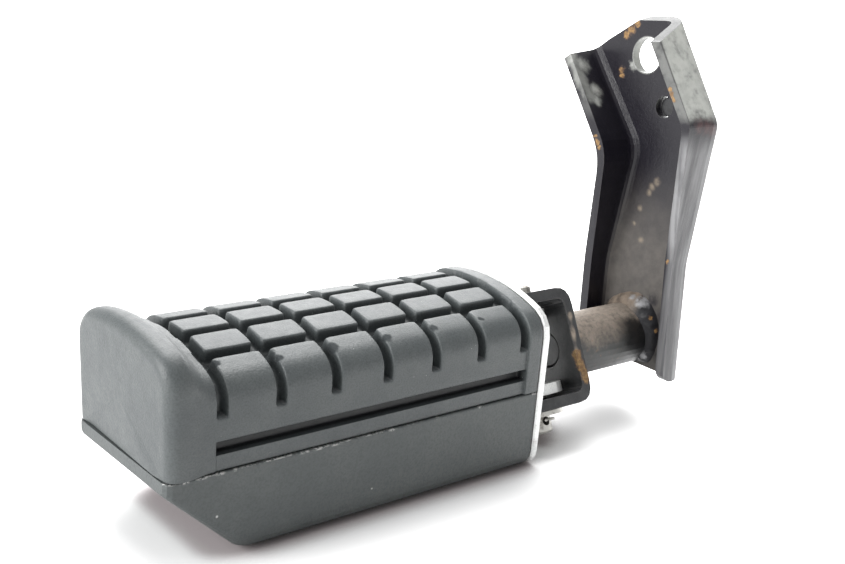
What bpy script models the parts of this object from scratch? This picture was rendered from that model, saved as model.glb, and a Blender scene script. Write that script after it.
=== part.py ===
"""Motorcycle passenger footpeg with its hanger: a rubber-topped peg that folds on a pressed steel bracket.

The origin is on the back face of the hanger's web, midway between its two holes. X runs inboard, towards
the motorcycle, Y across the peg and Z up. Every piece is modelled about the pivot, where the pin's axis
crosses the tube's axis, and is carried there by an empty.
"""

from math import asin, atan2, cos, pi, radians, sin

import bmesh
import bpy
from mathutils import Matrix, Vector

GAP = 0.0003

# Hinge: the pin leans back about the tube's axis.
PIN_LEAN = radians(27.0)
PIN_DIAMETER = 0.008
PIN_HOLE_CLEARANCE = 0.0004
PIN_HEAD_DIAMETER = 0.0135
PIN_HEAD_HEIGHT = 0.0022
PIN_TAIL = 0.0050
WASHER_DIAMETER = 0.016
WASHER_THICKNESS = 0.0012
COTTER_WIRE = 0.0009
COTTER_HOLE = 0.0026

# Clevis: one folded strip.
CLEVIS_HEIGHT = 0.0336
CLEVIS_WIDTH = 0.0234
CLEVIS_SHEET = 0.0032
CLEVIS_WEB_FROM_PIVOT = 0.0131
CLEVIS_BEND = 0.0055
CLEVIS_HOLE = 0.0110
SPIGOT_SUNK = 0.0003
EAR_RADIUS = 0.0116

# Stub and its welds: a bar whose spigot fills the hole in the clevis's web.
TUBE_DIAMETER = 0.019
TUBE_LENGTH = 0.0324
WELD_LEG_HANGER = 0.0024
WELD_BLOB = 0.0018
WELD_BLOB_AT = radians(118)
WELD_LEG_CLEVIS = 0.0017

# Hanger: a channel pressed from sheet. Each outline is given as (Y, Z, depth of the channel, bend radius),
# measured from the pivot, from the foot to the head.
SHEET = 0.003
CHANNEL_BEND = 0.0055
BACK_OUTLINE = [
    (0.0135, -0.0090, 0.0110, 0.0),
    (0.0143, 0.0220, 0.0112, 0.030),
    (0.0084, 0.0558, 0.0170, 0.014),
    (0.0301, 0.0831, 0.0150, 0.0),
]
FRONT_OUTLINE = [
    (-0.0212, -0.0090, 0.0098, 0.0),
    (-0.0192, 0.0270, 0.0102, 0.025),
    (-0.0229, 0.0698, 0.0163, 0.004),
    (-0.0010, 0.1027, 0.0172, 0.0),
]
HEAD_CORNER = [(0.0, 0.0119, 0.0961), (0.0, -0.0040, 0.0975), (-0.015, -0.0075, 0.0915)]
HEAD_TOP = [(0.0, 0.0259, 0.0858), (0.0, 0.0119, 0.0961), (-0.015, 0.0290, 0.0812)]
FOOT_ROUND = 0.004
BOLT_HOLE = (0.0067, 0.0851, 0.0106)
PLUG_HOLE = (-0.0024, 0.0711, 0.0064)
PLUG_THICKNESS = 0.0010

# Peg: the outer form that pad, shell and plate share.
PEG_LENGTH = 0.1098
PEG_HALF_WIDTH = 0.0210
PEG_CROWN_TOP = 0.0250
PEG_CROWN_RADIUS = 0.056
PEG_CROWN_MIDDLE = 0.0042
PEG_SHOULDER = 0.0070
PLATE_FACE_FROM_PIVOT = 0.0120
PLATE_THICKNESS = 0.0022
PLATE_PROUD = 0.0007
SEAM_HEIGHT = -0.0010
PEG_BOTTOM = -0.0233

# Outboard lip and inboard rim of the pad.
LIP_HALF_WIDTH = 0.0222
LIP_CROWN_TOP = 0.0296
LIP_CROWN_RADIUS = 0.062
LIP_CROWN_MIDDLE = 0.0010
LIP_SHOULDER = 0.0085
LIP_EDGE = 0.0025
LIP_CREST = 0.0042
RIM_PROUD = 0.0006
RIM_EDGE = 0.0008
END_LEAN = 0.030
END_SLANT = 0.025

# Tread: cross slots and long grooves part the pad's top into blocks.
SLOT_COUNT = 7
FIRST_SLOT = 0.0132
LAST_SLOT_FROM_RIM = 0.00624
SLOT_WIDTH = 0.0027
SLOT_DEPTH = 0.0036
SLOT_FOOT = 0.0117
GROOVE_PITCH = 0.0102
GROOVES_MIDDLE = -0.0011
GROOVE_WIDTH = 0.0028
BLOCK_EDGE = 0.0009
BLOCK_EDGE_DROP = 0.0005
SIDE_GROOVE = (0.0030, 0.0062)
SIDE_GROOVE_DEPTH = 0.0020

# Core bar, shell walls and the clamp screws.
BAR_WIDTH = 0.022
BAR_TOP = 0.0062
BAR_BOTTOM = -0.0068
BAR_TIP = 0.018
INSERT_THICKNESS = 0.0024
INSERT_WIDTH = 0.0205
LUG_HALF_WIDTH = 0.0092
LUG_THICKNESS = 0.0030
LUG_LOWER_FACE = -0.0125
LUG_UPPER_FACE = 0.0118
SHELL_WALL = 0.003
SHELL_BOTTOM_ROUND = 0.005
SHELL_TOP_ROUND = 0.0006
SHELL_NOSE_DROP = 0.0032
SHELL_CHAMFER = 0.0201
SHELL_CHAMFER_ROUND = 0.0085
SHELL_NOSE_EDGE = 0.0016
OUTER_SCREW_PLACE = 0.036
INNER_SCREW_FROM_RIM = 0.0238
SCREW_DIAMETER = 0.006
SCREW_CLEARANCE = 0.0006
SCREW_HEAD_DIAMETER = 0.0100
SCREW_HEAD_HEIGHT = 0.0026
SCREW_POCKET_DIAMETER = 0.0126
SCREW_POCKET_DEPTH = 0.0045
SCREW_BOSS_DIAMETER = 0.0165

ROUND_STEPS = 32

# Places that follow from the sizes above.
PEG_FACE = -PLATE_FACE_FROM_PIVOT - PLATE_THICKNESS
PEG_OUTER_END = PEG_FACE - GAP - PEG_LENGTH
SLOT_PITCH = (PEG_LENGTH - FIRST_SLOT - LAST_SLOT_FROM_RIM) / (SLOT_COUNT - 1)
SCREW_PLACES = (OUTER_SCREW_PLACE, PEG_LENGTH - INNER_SCREW_FROM_RIM)
TUBE_START = CLEVIS_WEB_FROM_PIVOT + GAP
WEB_BACK = TUBE_START + TUBE_LENGTH + GAP + SHEET
HOLES_MIDDLE = ((BOLT_HOLE[0] + PLUG_HOLE[0]) / 2, (BOLT_HOLE[1] + PLUG_HOLE[1]) / 2)
PIVOT = Vector((-WEB_BACK, -HOLES_MIDDLE[0], -HOLES_MIDDLE[1]))
EAR_FACE = CLEVIS_HEIGHT / 2
EAR_INSIDE = EAR_FACE - CLEVIS_SHEET
PIN_HOLE = PIN_DIAMETER + PIN_HOLE_CLEARANCE


def finish(name, colour, roughness, metallic):
    """A plain material: base colour, roughness and metallic."""
    material = bpy.data.materials.new(name)
    material.use_nodes = True
    shader = material.node_tree.nodes["Principled BSDF"]
    shader.inputs["Base Color"].default_value = (*colour, 1.0)
    shader.inputs["Roughness"].default_value = roughness
    shader.inputs["Metallic"].default_value = metallic
    return material


def solid(name, points, faces, material, parent, crease=radians(35)):
    """One closed object made from points and faces, its faces turned outwards."""
    form = bmesh.new()
    corners = [form.verts.new(point) for point in points]
    for face in faces:
        form.faces.new([corners[i] for i in face])
    bmesh.ops.recalc_face_normals(form, faces=form.faces)
    mesh = bpy.data.meshes.new(name)
    form.to_mesh(mesh)
    form.free()
    mesh.shade_smooth()
    mesh.set_sharp_from_angle(angle=crease)
    made = bpy.data.objects.new(name, mesh)
    made.parent = parent
    if material:
        mesh.materials.append(material)
    bpy.context.scene.collection.objects.link(made)
    return made


def helper(made):
    """Marks an object as a cutter or other helper, which is no piece of the part."""
    made.hide_render = True
    made.display_type = "WIRE"
    return made


def boolean(target, other, operation="DIFFERENCE"):
    """Cuts, joins or intersects the target with another object, which becomes a helper."""
    step = target.modifiers.new(f"{operation.lower()} {other.name}", "BOOLEAN")
    step.operation = operation
    step.object = helper(other)


def bevelled(target, width, segments=2, angle=radians(50)):
    """Breaks the sharp edges of an object."""
    step = target.modifiers.new("edge break", "BEVEL")
    step.width = width
    step.segments = segments
    step.limit_method = "ANGLE"
    step.angle_limit = angle


def loft(name, sections, material, parent, crease=radians(35)):
    """A solid through loops of points, all with the same number of points, closed by a face at each end."""
    count = len(sections[0])
    points = [point for section in sections for point in section]
    faces = [list(range(count)), list(range(len(points) - count, len(points)))]
    for row in range(len(sections) - 1):
        for i in range(count):
            j = (i + 1) % count
            faces.append([row * count + i, row * count + j, (row + 1) * count + j, (row + 1) * count + i])
    return solid(name, points, faces, material, parent, crease)


def prism(name, outline, along, start, end, material=None, parent=None):
    """An outline pushed along X (outline in Y, Z), Y (in X, Z) or Z (in X, Y)."""
    place = {
        "X": lambda a, b, c: (c, a, b),
        "Y": lambda a, b, c: (a, c, b),
        "Z": lambda a, b, c: (a, b, c),
    }[along]
    return loft(name, [[place(a, b, c) for a, b in outline] for c in (start, end)], material, parent)


def turned(name, profile, material, parent, steps=ROUND_STEPS, closed=False):
    """A solid of revolution about Z from (radius, height) points. A closed profile makes a ring."""
    rings, points = [], []
    for radius, height in profile:
        first = len(points)
        if radius == 0.0:
            points.append((0.0, 0.0, height))
            rings.append([first] * steps)
        else:
            points += [
                (radius * cos(2 * pi * i / steps), radius * sin(2 * pi * i / steps), height) for i in range(steps)
            ]
            rings.append([first + i for i in range(steps)])
    pairs = list(zip(rings, rings[1:] + ([rings[0]] if closed else [])))
    faces = []
    for low, high in pairs:
        for i in range(steps):
            j = (i + 1) % steps
            corners = [low[i], low[j], high[j], high[i]]
            faces.append([c for k, c in enumerate(corners) if c not in corners[:k]])
    return solid(name, points, [face for face in faces if len(face) > 2], material, parent)


def rod(name, diameter, low, high, material=None, parent=None, steps=ROUND_STEPS):
    """A plain cylinder about Z."""
    radius = diameter / 2
    return turned(name, [(0.0, low), (radius, low), (radius, high), (0.0, high)], material, parent, steps)


def ring(name, outer, inner, low, high, material=None, parent=None, steps=ROUND_STEPS):
    """A flat ring about Z."""
    profile = [(outer / 2, low), (outer / 2, high), (inner / 2, high), (inner / 2, low)]
    return turned(name, profile, material, parent, steps, closed=True)


def rounded(corners, steps=4):
    """A path or outline whose corners (a, b, radius) become arcs. Further values of a corner are carried along."""
    made = []
    last = len(corners) - 1
    for i, (*place, radius) in enumerate(corners):
        here = Vector(place)
        if radius == 0.0 or i in (0, last):
            made.append(here)
            continue
        before, after = Vector(corners[i - 1][:-1]), Vector(corners[i + 1][:-1])
        to_before, to_after = (before - here), (after - here)
        flat_before, flat_after = to_before.to_2d().normalized(), to_after.to_2d().normalized()
        half = flat_before.angle(flat_after) / 2
        back = radius / abs(sin(half) / cos(half))
        start = here + to_before * (back / to_before.to_2d().length)
        end = here + to_after * (back / to_after.to_2d().length)
        for k in range(steps + 1):
            t = k / steps
            made.append(start * (1 - t) ** 2 + here * 2 * t * (1 - t) + end * t**2)
    return made


def closed_outline(corners, steps=4):
    """A closed outline from corners (a, b, radius), as plain pairs."""
    middle = tuple((Vector(corners[0][:2]) + Vector(corners[-1][:2])) / 2)
    path = rounded([(*middle, 0.0), *corners, (*middle, 0.0)], steps)
    return [tuple(point) for point in path[:-1]]


def arc(centre, radius, start, end, steps):
    """Points on an arc, as pairs."""
    return [
        (centre[0] + radius * cos(start + (end - start) * k / steps), centre[1] + radius * sin(start + (end - start) * k / steps))
        for k in range(steps + 1)
    ]


class HalfProfile:
    """One side of the peg's outer form: a crown, a shoulder and an upright side, measured along the skin from y = 0.

    The crown's middle may lie off y = 0, so that the two sides differ. Heights and widths are those of the peg.
    """

    def __init__(self, side, half_width, top, crown_radius, crown_middle, shoulder):
        self.side, self.half_width, self.shoulder = side, half_width, shoulder
        self.crown_radius = crown_radius
        self.centre = Vector((side * crown_middle, top - crown_radius))
        self.start = asin(-self.centre.x / crown_radius)
        self.turn = asin((half_width - shoulder - self.centre.x) / (crown_radius - shoulder))
        self.shoulder_height = self.centre.y + (crown_radius - shoulder) * cos(self.turn)
        self.crown_length = crown_radius * (self.turn - self.start)
        self.shoulder_length = shoulder * (pi / 2 - self.turn)

    def at(self, distance):
        """Where the skin is at this distance from y = 0, as (distance to the side, height), and its outward direction."""
        if distance <= self.crown_length:
            angle = self.start + distance / self.crown_radius
            centre, radius = self.centre, self.crown_radius
        else:
            angle = min(self.turn + (distance - self.crown_length) / self.shoulder, pi / 2)
            centre, radius = Vector((self.half_width - self.shoulder, self.shoulder_height)), self.shoulder
        out = Vector((sin(angle), cos(angle)))
        place = centre + out * radius
        place.y -= max(distance - self.crown_length - self.shoulder_length, 0.0)
        return place, out

    def distance_to_height(self, height):
        """The distance along the skin to a height on the upright side."""
        return self.crown_length + self.shoulder_length + self.shoulder_height - height

    def matching(self, distance, base):
        """The distance on this profile that matches one on the base profile, stretch by stretch."""
        if distance <= base.crown_length:
            return distance * self.crown_length / base.crown_length
        if distance <= base.crown_length + base.shoulder_length:
            part = (distance - base.crown_length) / base.shoulder_length
            return self.crown_length + part * self.shoulder_length
        part = (distance - base.crown_length - base.shoulder_length) / (base.shoulder_height - SEAM_HEIGHT)
        return self.crown_length + self.shoulder_length + part * (self.shoulder_height - SEAM_HEIGHT)


def both_sides(half_width, top, crown_radius, crown_middle, shoulder):
    """The front (-1) and back (1) halves of one outer form."""
    return {side: HalfProfile(side, half_width, top, crown_radius, crown_middle, shoulder) for side in (-1, 1)}


def proud(amount):
    """The tread's form grown outwards by this amount."""
    return both_sides(
        PEG_HALF_WIDTH + amount,
        PEG_CROWN_TOP + amount,
        PEG_CROWN_RADIUS + amount,
        PEG_CROWN_MIDDLE,
        PEG_SHOULDER + amount,
    )


TREAD = proud(0.0)
LIP = both_sides(LIP_HALF_WIDTH, LIP_CROWN_TOP, LIP_CROWN_RADIUS, LIP_CROWN_MIDDLE, LIP_SHOULDER)


def edge_stations(start, end):
    """Where the pad's surface is sampled over one slot or groove: two block edges, two walls and a floor."""
    wall = 0.0001
    return [
        (start - BLOCK_EDGE, 0.0),
        (start, BLOCK_EDGE_DROP),
        (start + wall, 1.0),
        (end - wall, 1.0),
        (end, BLOCK_EDGE_DROP),
        (end + BLOCK_EDGE, 0.0),
    ]


def depth_of(drop, full):
    """A station's depth: the full depth on a floor, and a small drop on a block's edge."""
    return full if drop == 1.0 else drop


def across_stations(side):
    """Where one side of the skin is sampled, from the middle groove's edge down to the seam.

    Each station is (distance, drop, whether the cross slots reach it, whether it lies in the side groove).
    """
    profile, half, shift = TREAD[side], GROOVE_WIDTH / 2, side * GROOVES_MIDDLE
    stations = []
    for centre in (shift, shift + GROOVE_PITCH):
        stations += [(place, drop, True, False) for place, drop in edge_stations(centre - half, centre + half)]
    stations = stations[3:]
    foot = profile.distance_to_height(SLOT_FOOT)
    last = stations[-1][0]
    shoulder_steps = 5
    stations += [(last + (foot - last) * k / shoulder_steps, 0.0, True, False) for k in range(1, shoulder_steps)]
    stations += [(foot - 0.0001, 0.0, True, False), (foot + BLOCK_EDGE_DROP, 0.0, False, False)]
    high, low = (profile.distance_to_height(height) for height in (SIDE_GROOVE[1], SIDE_GROOVE[0]))
    stations += [(place, drop, False, True) for place, drop in edge_stations(high, low)]
    bottom = profile.distance_to_height(SEAM_HEIGHT + GAP / 2)
    return stations + [(bottom - BLOCK_EDGE, 0.0, False, False), (bottom, 0.0, False, False)]


def along_stations():
    """(distance from the outboard end, depth of a cross slot, lip's share, inset, in the tread, in the side groove)."""
    stations = []
    edge_steps = 3
    for k in range(edge_steps + 1):
        angle = pi / 2 * k / edge_steps
        stations.append((LIP_EDGE * (1 - cos(angle)), 0.0, 1.0, LIP_EDGE * (1 - sin(angle)), False, False))
    first = first_slot_start()
    slope_steps = 5
    for k in range(slope_steps):
        part = k / slope_steps
        place = LIP_CREST + (first - BLOCK_EDGE - LIP_CREST) * part
        stations.append((place, 0.0, (1 + cos(pi * part)) / 2, 0.0, False, False))
    for n in range(SLOT_COUNT):
        centre = FIRST_SLOT + n * SLOT_PITCH
        for k, (place, drop) in enumerate(edge_stations(centre - SLOT_WIDTH / 2, centre + SLOT_WIDTH / 2)):
            inside = (n, k) >= (0, 2) and (n, k) <= (SLOT_COUNT - 1, 3)
            stations.append((place, drop, 0.0, 0.0, inside, inside))
    stations.append((PEG_LENGTH - RIM_EDGE, 0.0, 0.0, 0.0, False, False))
    stations.append((PEG_LENGTH, 0.0, 0.0, RIM_EDGE, False, False))
    return stations


def skin_point(side, station, place, slot_drop, lip_share, inset, in_tread, in_side):
    """One point of the pad's skin, sunk into the slots and grooves that reach it."""
    distance, drop, slots_reach, side_groove = station
    base, out = TREAD[side].at(distance)
    if place > last_slot_end():
        rim = proud(RIM_PROUD)[side]
        base, out = rim.at(rim.matching(distance, TREAD[side]))
    elif lip_share > 0:
        raised, out = LIP[side].at(LIP[side].matching(distance, TREAD[side]))
        base = base.lerp(raised, lip_share)
    depth = 0.0
    if slots_reach:
        depth = depth_of(slot_drop, SLOT_DEPTH)
        if in_tread:
            depth = max(depth, depth_of(drop, SLOT_DEPTH))
    elif side_groove and in_side:
        depth = depth_of(drop, SIDE_GROOVE_DEPTH)
    across, height = base - out * (depth + inset)
    height = max(height, SEAM_HEIGHT + GAP / 2)
    fade = max(1 - place / first_slot_start(), 0.0)
    outboard = fade * (END_LEAN * height + END_SLANT * (PEG_HALF_WIDTH + side * across))
    return PEG_OUTER_END + place - outboard, side * across, height


def tread_pad(material, parent):
    """The rubber pad: its skin follows the crown, rises to the lip and sinks into every slot and groove."""
    front, back = across_stations(-1), across_stations(1)
    row = [(-1, station) for station in reversed(front)] + [(1, station) for station in back]
    sections = [[skin_point(side, station, *along) for side, station in row] for along in along_stations()]
    pad = loft("tread_pad", sections, material, parent, crease=radians(50))
    pocket_top = BAR_TOP + GAP + INSERT_THICKNESS + GAP
    pocket_half = BAR_WIDTH / 2 + GAP
    outline = [(-pocket_half, -0.01), (pocket_half, -0.01), (pocket_half, pocket_top), (-pocket_half, pocket_top)]
    start = PEG_OUTER_END + BAR_TIP - SHELL_WALL
    boolean(pad, prism("pad_pocket", outline, "X", start, 0.0, parent=parent))
    return pad


def first_slot_start():
    """Where the first cross slot starts, from the outboard end."""
    return FIRST_SLOT - SLOT_WIDTH / 2


def last_slot_end():
    """Where the last cross slot ends, from the outboard end."""
    return FIRST_SLOT + (SLOT_COUNT - 1) * SLOT_PITCH + SLOT_WIDTH / 2


def shell_form(name, inset, material, parent):
    """The lower shell's outer form, or its hollow when shrunk by a wall: a trough whose nose rises outboard."""
    half, bottom = PEG_HALF_WIDTH + PLATE_PROUD / 4 - inset, PEG_BOTTOM + inset
    top = SEAM_HEIGHT - GAP / 2 + (SHELL_CHAMFER / 2 if inset else 0.0)
    edge = max(SHELL_NOSE_EDGE - inset, SHELL_NOSE_EDGE / 4)
    rim = 0.0 if inset else SHELL_TOP_ROUND
    nose, nose_foot = PEG_OUTER_END + inset, SEAM_HEIGHT - SHELL_NOSE_DROP
    chamfer_foot = PEG_OUTER_END + SHELL_CHAMFER + inset * 0.414
    slope = (bottom - nose_foot) / (chamfer_foot - nose)
    sections = []
    for x, z, side in rounded(
        [
            (nose, nose_foot, half - edge, 0.0),
            (nose + edge / 3, nose_foot + slope * edge / 3, half - edge / 3, 0.0),
            (nose + edge, nose_foot + slope * edge, half, 0.0),
            (chamfer_foot, bottom, half, max(SHELL_CHAMFER_ROUND - inset, edge)),
            (PEG_FACE - GAP - inset, bottom, half, 0.0),
        ],
        6,
    ):
        share = min((z - bottom) / SHELL_BOTTOM_ROUND, 1.0)
        bend = max(SHELL_BOTTOM_ROUND - inset, 0.001) * (1 - share) + edge * share
        outline = closed_outline([(-side, top, rim), (-side, z, bend), (side, z, bend), (side, top, rim)], 5)
        sections.append([(x, y, height) for y, height in outline])
    return loft(name, sections, material, parent)


def lower_shell(material, parent):
    """The painted trough under the pad: flat bottom, chamfered nose, two screw bosses."""
    shell = shell_form("lower_shell", 0.0, material, parent)
    hollow = shell_form("shell_hollow", SHELL_WALL, None, parent)
    for n, place in enumerate(SCREW_PLACES):
        boss = rod(f"boss_{n}", SCREW_BOSS_DIAMETER, PEG_BOTTOM - 0.001, BAR_BOTTOM - GAP, parent=parent)
        boss.location.x = PEG_OUTER_END + place
        boolean(hollow, boss)
    notch_half = BAR_WIDTH / 2 + GAP
    notch = [(-notch_half, BAR_BOTTOM - GAP), (notch_half, BAR_BOTTOM - GAP), (notch_half, 0.01), (-notch_half, 0.01)]
    boolean(shell, hollow)
    boolean(shell, prism("bar_notch", notch, "X", PEG_FACE - 2 * SHELL_WALL, PEG_FACE + 0.01, parent=parent))
    for n, place in enumerate(SCREW_PLACES):
        pocket = rod(f"head_pocket_{n}", SCREW_POCKET_DIAMETER, PEG_BOTTOM - 0.01, PEG_BOTTOM + SCREW_POCKET_DEPTH)
        hole = rod(f"shell_hole_{n}", SCREW_DIAMETER + SCREW_CLEARANCE, PEG_BOTTOM - 0.01, 0.0, steps=20)
        for cutter in (pocket, hole):
            cutter.parent = parent
            cutter.location.x = PEG_OUTER_END + place
            boolean(shell, cutter)
    return shell


def plate_outline():
    """The end plate's outline: the shared form, a little proud of pad and shell."""
    plate, steps = proud(PLATE_PROUD), 9
    bottom, half, corner = PEG_BOTTOM - PLATE_PROUD / 4, PEG_HALF_WIDTH + PLATE_PROUD, SHELL_BOTTOM_ROUND
    outline = []
    for side in (1, -1):
        profile = plate[side]
        end = profile.crown_length + profile.shoulder_length
        top = [(side * y, z) for y, z in (profile.at(end * k / steps)[0] for k in range(1, steps + 1))]
        foot = [(side * y, z) for y, z in arc((half - corner, bottom + corner), corner, 0.0, -pi / 2, 4)]
        outline += top + foot if side == 1 else (top + foot)[::-1]
    return outline


def peg_core(material, parent, hinge):
    """The bare casting: end plate, two hinge lugs and the bar that carries pad and shell."""
    plate = prism("peg_core", plate_outline(), "X", PEG_FACE, -PLATE_FACE_FROM_PIVOT, material, parent)
    bevelled(plate, 0.0004, 1)
    bar_half, corner = BAR_WIDTH / 2, 0.002
    bar_outline = closed_outline(
        [
            (-bar_half, BAR_TOP, corner),
            (-bar_half, BAR_BOTTOM, corner),
            (bar_half, BAR_BOTTOM, corner),
            (bar_half, BAR_TOP, corner),
        ],
        2,
    )
    boolean(plate, prism("core_bar", bar_outline, "X", PEG_OUTER_END + BAR_TIP, PEG_FACE + 0.001, parent=parent), "UNION")
    root = -PLATE_FACE_FROM_PIVOT - PLATE_THICKNESS / 2
    rim = [(root, -LUG_HALF_WIDTH), *arc((0.0, 0.0), LUG_HALF_WIDTH, -pi / 2, pi / 2, 12), (root, LUG_HALF_WIDTH)]
    for name, low, high in (
        ("lug_lower", LUG_LOWER_FACE, LUG_LOWER_FACE + LUG_THICKNESS),
        ("lug_upper", LUG_UPPER_FACE - LUG_THICKNESS, LUG_UPPER_FACE),
    ):
        boolean(plate, prism(name, rim, "Z", low, high, parent=hinge), "UNION")
    boolean(plate, rod("lug_bore", PIN_HOLE, -0.03, 0.03, parent=hinge))
    for n, place in enumerate(SCREW_PLACES):
        hole = rod(f"bar_hole_{n}", SCREW_DIAMETER + SCREW_CLEARANCE, -0.02, 0.02, parent=parent, steps=20)
        hole.location.x = PEG_OUTER_END + place
        boolean(plate, hole)
    return plate


def pad_insert(material, parent):
    """The steel strip in the pad's underside, with its two threaded holes."""
    low = BAR_TOP + GAP
    half = INSERT_WIDTH / 2
    outline = [(-half, low), (half, low), (half, low + INSERT_THICKNESS), (-half, low + INSERT_THICKNESS)]
    strip = prism("pad_insert", outline, "X", PEG_OUTER_END + BAR_TIP, PEG_FACE - 2 * SHELL_WALL, material, parent)
    for n, place in enumerate(SCREW_PLACES):
        hole = rod(f"insert_hole_{n}", SCREW_DIAMETER + SCREW_CLEARANCE, low - 0.01, low + 0.01, parent=parent, steps=20)
        hole.location.x = PEG_OUTER_END + place
        boolean(strip, hole)
    return strip


def clamp_screw(name, place, material, parent):
    """A pan-head screw from below, with a hexagon socket, that pulls shell, bar and insert together."""
    seat = PEG_BOTTOM + SCREW_POCKET_DEPTH - GAP - WASHER_THICKNESS * 0.6 - GAP
    tip = BAR_TOP + GAP + INSERT_THICKNESS
    head, shank, edge = SCREW_HEAD_DIAMETER / 2, SCREW_DIAMETER / 2, 0.0006
    profile = [
        (0.0, seat - SCREW_HEAD_HEIGHT),
        (head - 2 * edge, seat - SCREW_HEAD_HEIGHT),
        (head, seat - SCREW_HEAD_HEIGHT + 2 * edge),
        (head, seat),
        (shank, seat),
        (shank, tip - edge),
        (shank - edge, tip),
        (0.0, tip),
    ]
    screw = turned(name, profile, material, parent, 24)
    screw.location.x = PEG_OUTER_END + place
    socket = rod(f"{name}_socket", 0.0046, seat - 0.01, seat - SCREW_HEAD_HEIGHT + 0.0016, parent=parent, steps=6)
    socket.location.x = PEG_OUTER_END + place
    boolean(screw, socket)
    return screw


def screw_washer(name, place, material, parent):
    """The washer between a clamp screw's head and the shell."""
    high = PEG_BOTTOM + SCREW_POCKET_DEPTH - GAP
    inner = SCREW_DIAMETER + SCREW_CLEARANCE
    washer = ring(name, SCREW_POCKET_DIAMETER - 0.0012, inner, high - WASHER_THICKNESS * 0.6, high, material, parent, 24)
    washer.location.x = PEG_OUTER_END + place
    return washer


def clevis(material, hinge):
    """The folded strip: a web on the tube and two ears, round to the front and square to the back as a stop."""
    inner_bend = CLEVIS_BEND - CLEVIS_SHEET
    outside, inside = CLEVIS_WEB_FROM_PIVOT, CLEVIS_WEB_FROM_PIVOT - CLEVIS_SHEET
    tip = -PLATE_FACE_FROM_PIVOT + GAP
    side_view = closed_outline(
        [
            (tip, EAR_FACE, 0.0),
            (outside, EAR_FACE, CLEVIS_BEND),
            (outside, -EAR_FACE, CLEVIS_BEND),
            (tip, -EAR_FACE, 0.0),
            (tip, -EAR_INSIDE, 0.0),
            (inside, -EAR_INSIDE, inner_bend),
            (inside, EAR_INSIDE, inner_bend),
            (tip, EAR_INSIDE, 0.0),
        ]
    )
    half = CLEVIS_WIDTH / 2
    strip = prism("clevis", side_view, "Y", -half, half, material, hinge)
    top_view = [
        *arc((0.0, 0.0), EAR_RADIUS, pi, 3 * pi / 2, 8),
        (2 * outside, -EAR_RADIUS),
        (2 * outside, half + 0.01),
        (tip, half + 0.01),
        (tip, 0.0),
    ]
    boolean(strip, prism("ear_outline", top_view, "Z", -0.03, 0.03, parent=hinge), "INTERSECT")
    boolean(strip, rod("ear_bore", PIN_HOLE, -0.03, 0.03, parent=hinge))
    bore = rod("clevis_web_bore", CLEVIS_HOLE, inside - 0.002, outside + 0.002, parent=hinge)
    bore.rotation_euler = (0.0, pi / 2, 0.0)
    boolean(strip, bore)
    bevelled(strip, 0.0004, 1, radians(60))
    return strip


def about_x(made, start=0.0):
    """Turns a piece made about Z so that it lies along X."""
    made.rotation_euler = (0.0, pi / 2, 0.0)
    made.location.x = start
    return made


def stub_tube(material, parent):
    """The stub between clevis and hanger, with a spigot that fills the hole in the clevis's web."""
    outer, spigot, edge = TUBE_DIAMETER / 2, CLEVIS_HOLE / 2 - GAP, 0.0004
    tip = SPIGOT_SUNK - CLEVIS_SHEET - GAP
    profile = [
        (0.0, tip),
        (spigot - edge, tip),
        (spigot, tip + edge),
        (spigot, 0.0),
        (outer, 0.0),
        (outer, TUBE_LENGTH),
        (0.0, TUBE_LENGTH),
    ]
    return about_x(turned("stub_tube", profile, material, parent), TUBE_START)


def weld_bead(name, leg, blob, toe, direction, material, parent):
    """A fillet of weld round the stub: a ring whose size swells and shrinks from drop to drop."""
    inner = TUBE_DIAMETER / 2 + GAP
    steps, drops = 40, 13
    sections = []
    for i in range(steps):
        turn = 2 * pi * i / steps
        swell = leg * (0.92 + 0.08 * cos(drops * turn) + 0.06 * sin(2 * turn + 0.7))
        swell += blob * max(cos(turn - WELD_BLOB_AT), 0.0) ** 4
        profile = [(inner, 0.0), (inner, swell), (inner + 0.35 * swell, 0.62 * swell), (inner + swell * toe, 0.0)]
        sections.append([(direction * x, r * cos(turn), r * sin(turn)) for r, x in profile])
    count = len(sections[0])
    points = [point for section in sections for point in section]
    faces = []
    for row in range(steps):
        following = (row + 1) % steps
        for i in range(count):
            j = (i + 1) % count
            faces.append([row * count + i, row * count + j, following * count + j, following * count + i])
    return solid(name, points, faces, material, parent)


def press_to_channel(bead):
    """Presses the hanger's bead in where the tube stands close to the channel's back flange."""
    (low_y, low_z, *_), (high_y, high_z, *_) = BACK_OUTLINE[:2]
    inner = CHANNEL_BEND - SHEET
    for vertex in bead.data.vertices:
        place = vertex.co
        flange = low_y + (high_y - low_y) * (place.z - low_z) / (high_z - low_z)
        into_bend = place.y - (flange - CHANNEL_BEND)
        if into_bend > 0:
            into_bend = min(into_bend, inner - 1.2 * GAP)
            place.y = flange - CHANNEL_BEND + into_bend
            place.x = min(place.x, -(inner - (inner**2 - into_bend**2) ** 0.5) - 0.3 * GAP)


def plane_cutter(name, through, size, parent):
    """A block on the far side of the plane through three points, seen from the pivot."""
    a, b, c = (Vector(point) for point in through)
    normal = (b - a).cross(c - a).normalized()
    if normal.dot(a) < 0:
        normal.negate()
    across = (b - a).normalized()
    upward = normal.cross(across)
    middle = (a + b + c) / 3
    corners = []
    for rise in (0.0, size):
        for u, v in ((-1, -1), (1, -1), (1, 1), (-1, 1)):
            corners.append(middle + normal * rise + across * (u * size) + upward * (v * size))
    return loft(name, [corners[:4], corners[4:]], None, parent)


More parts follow.
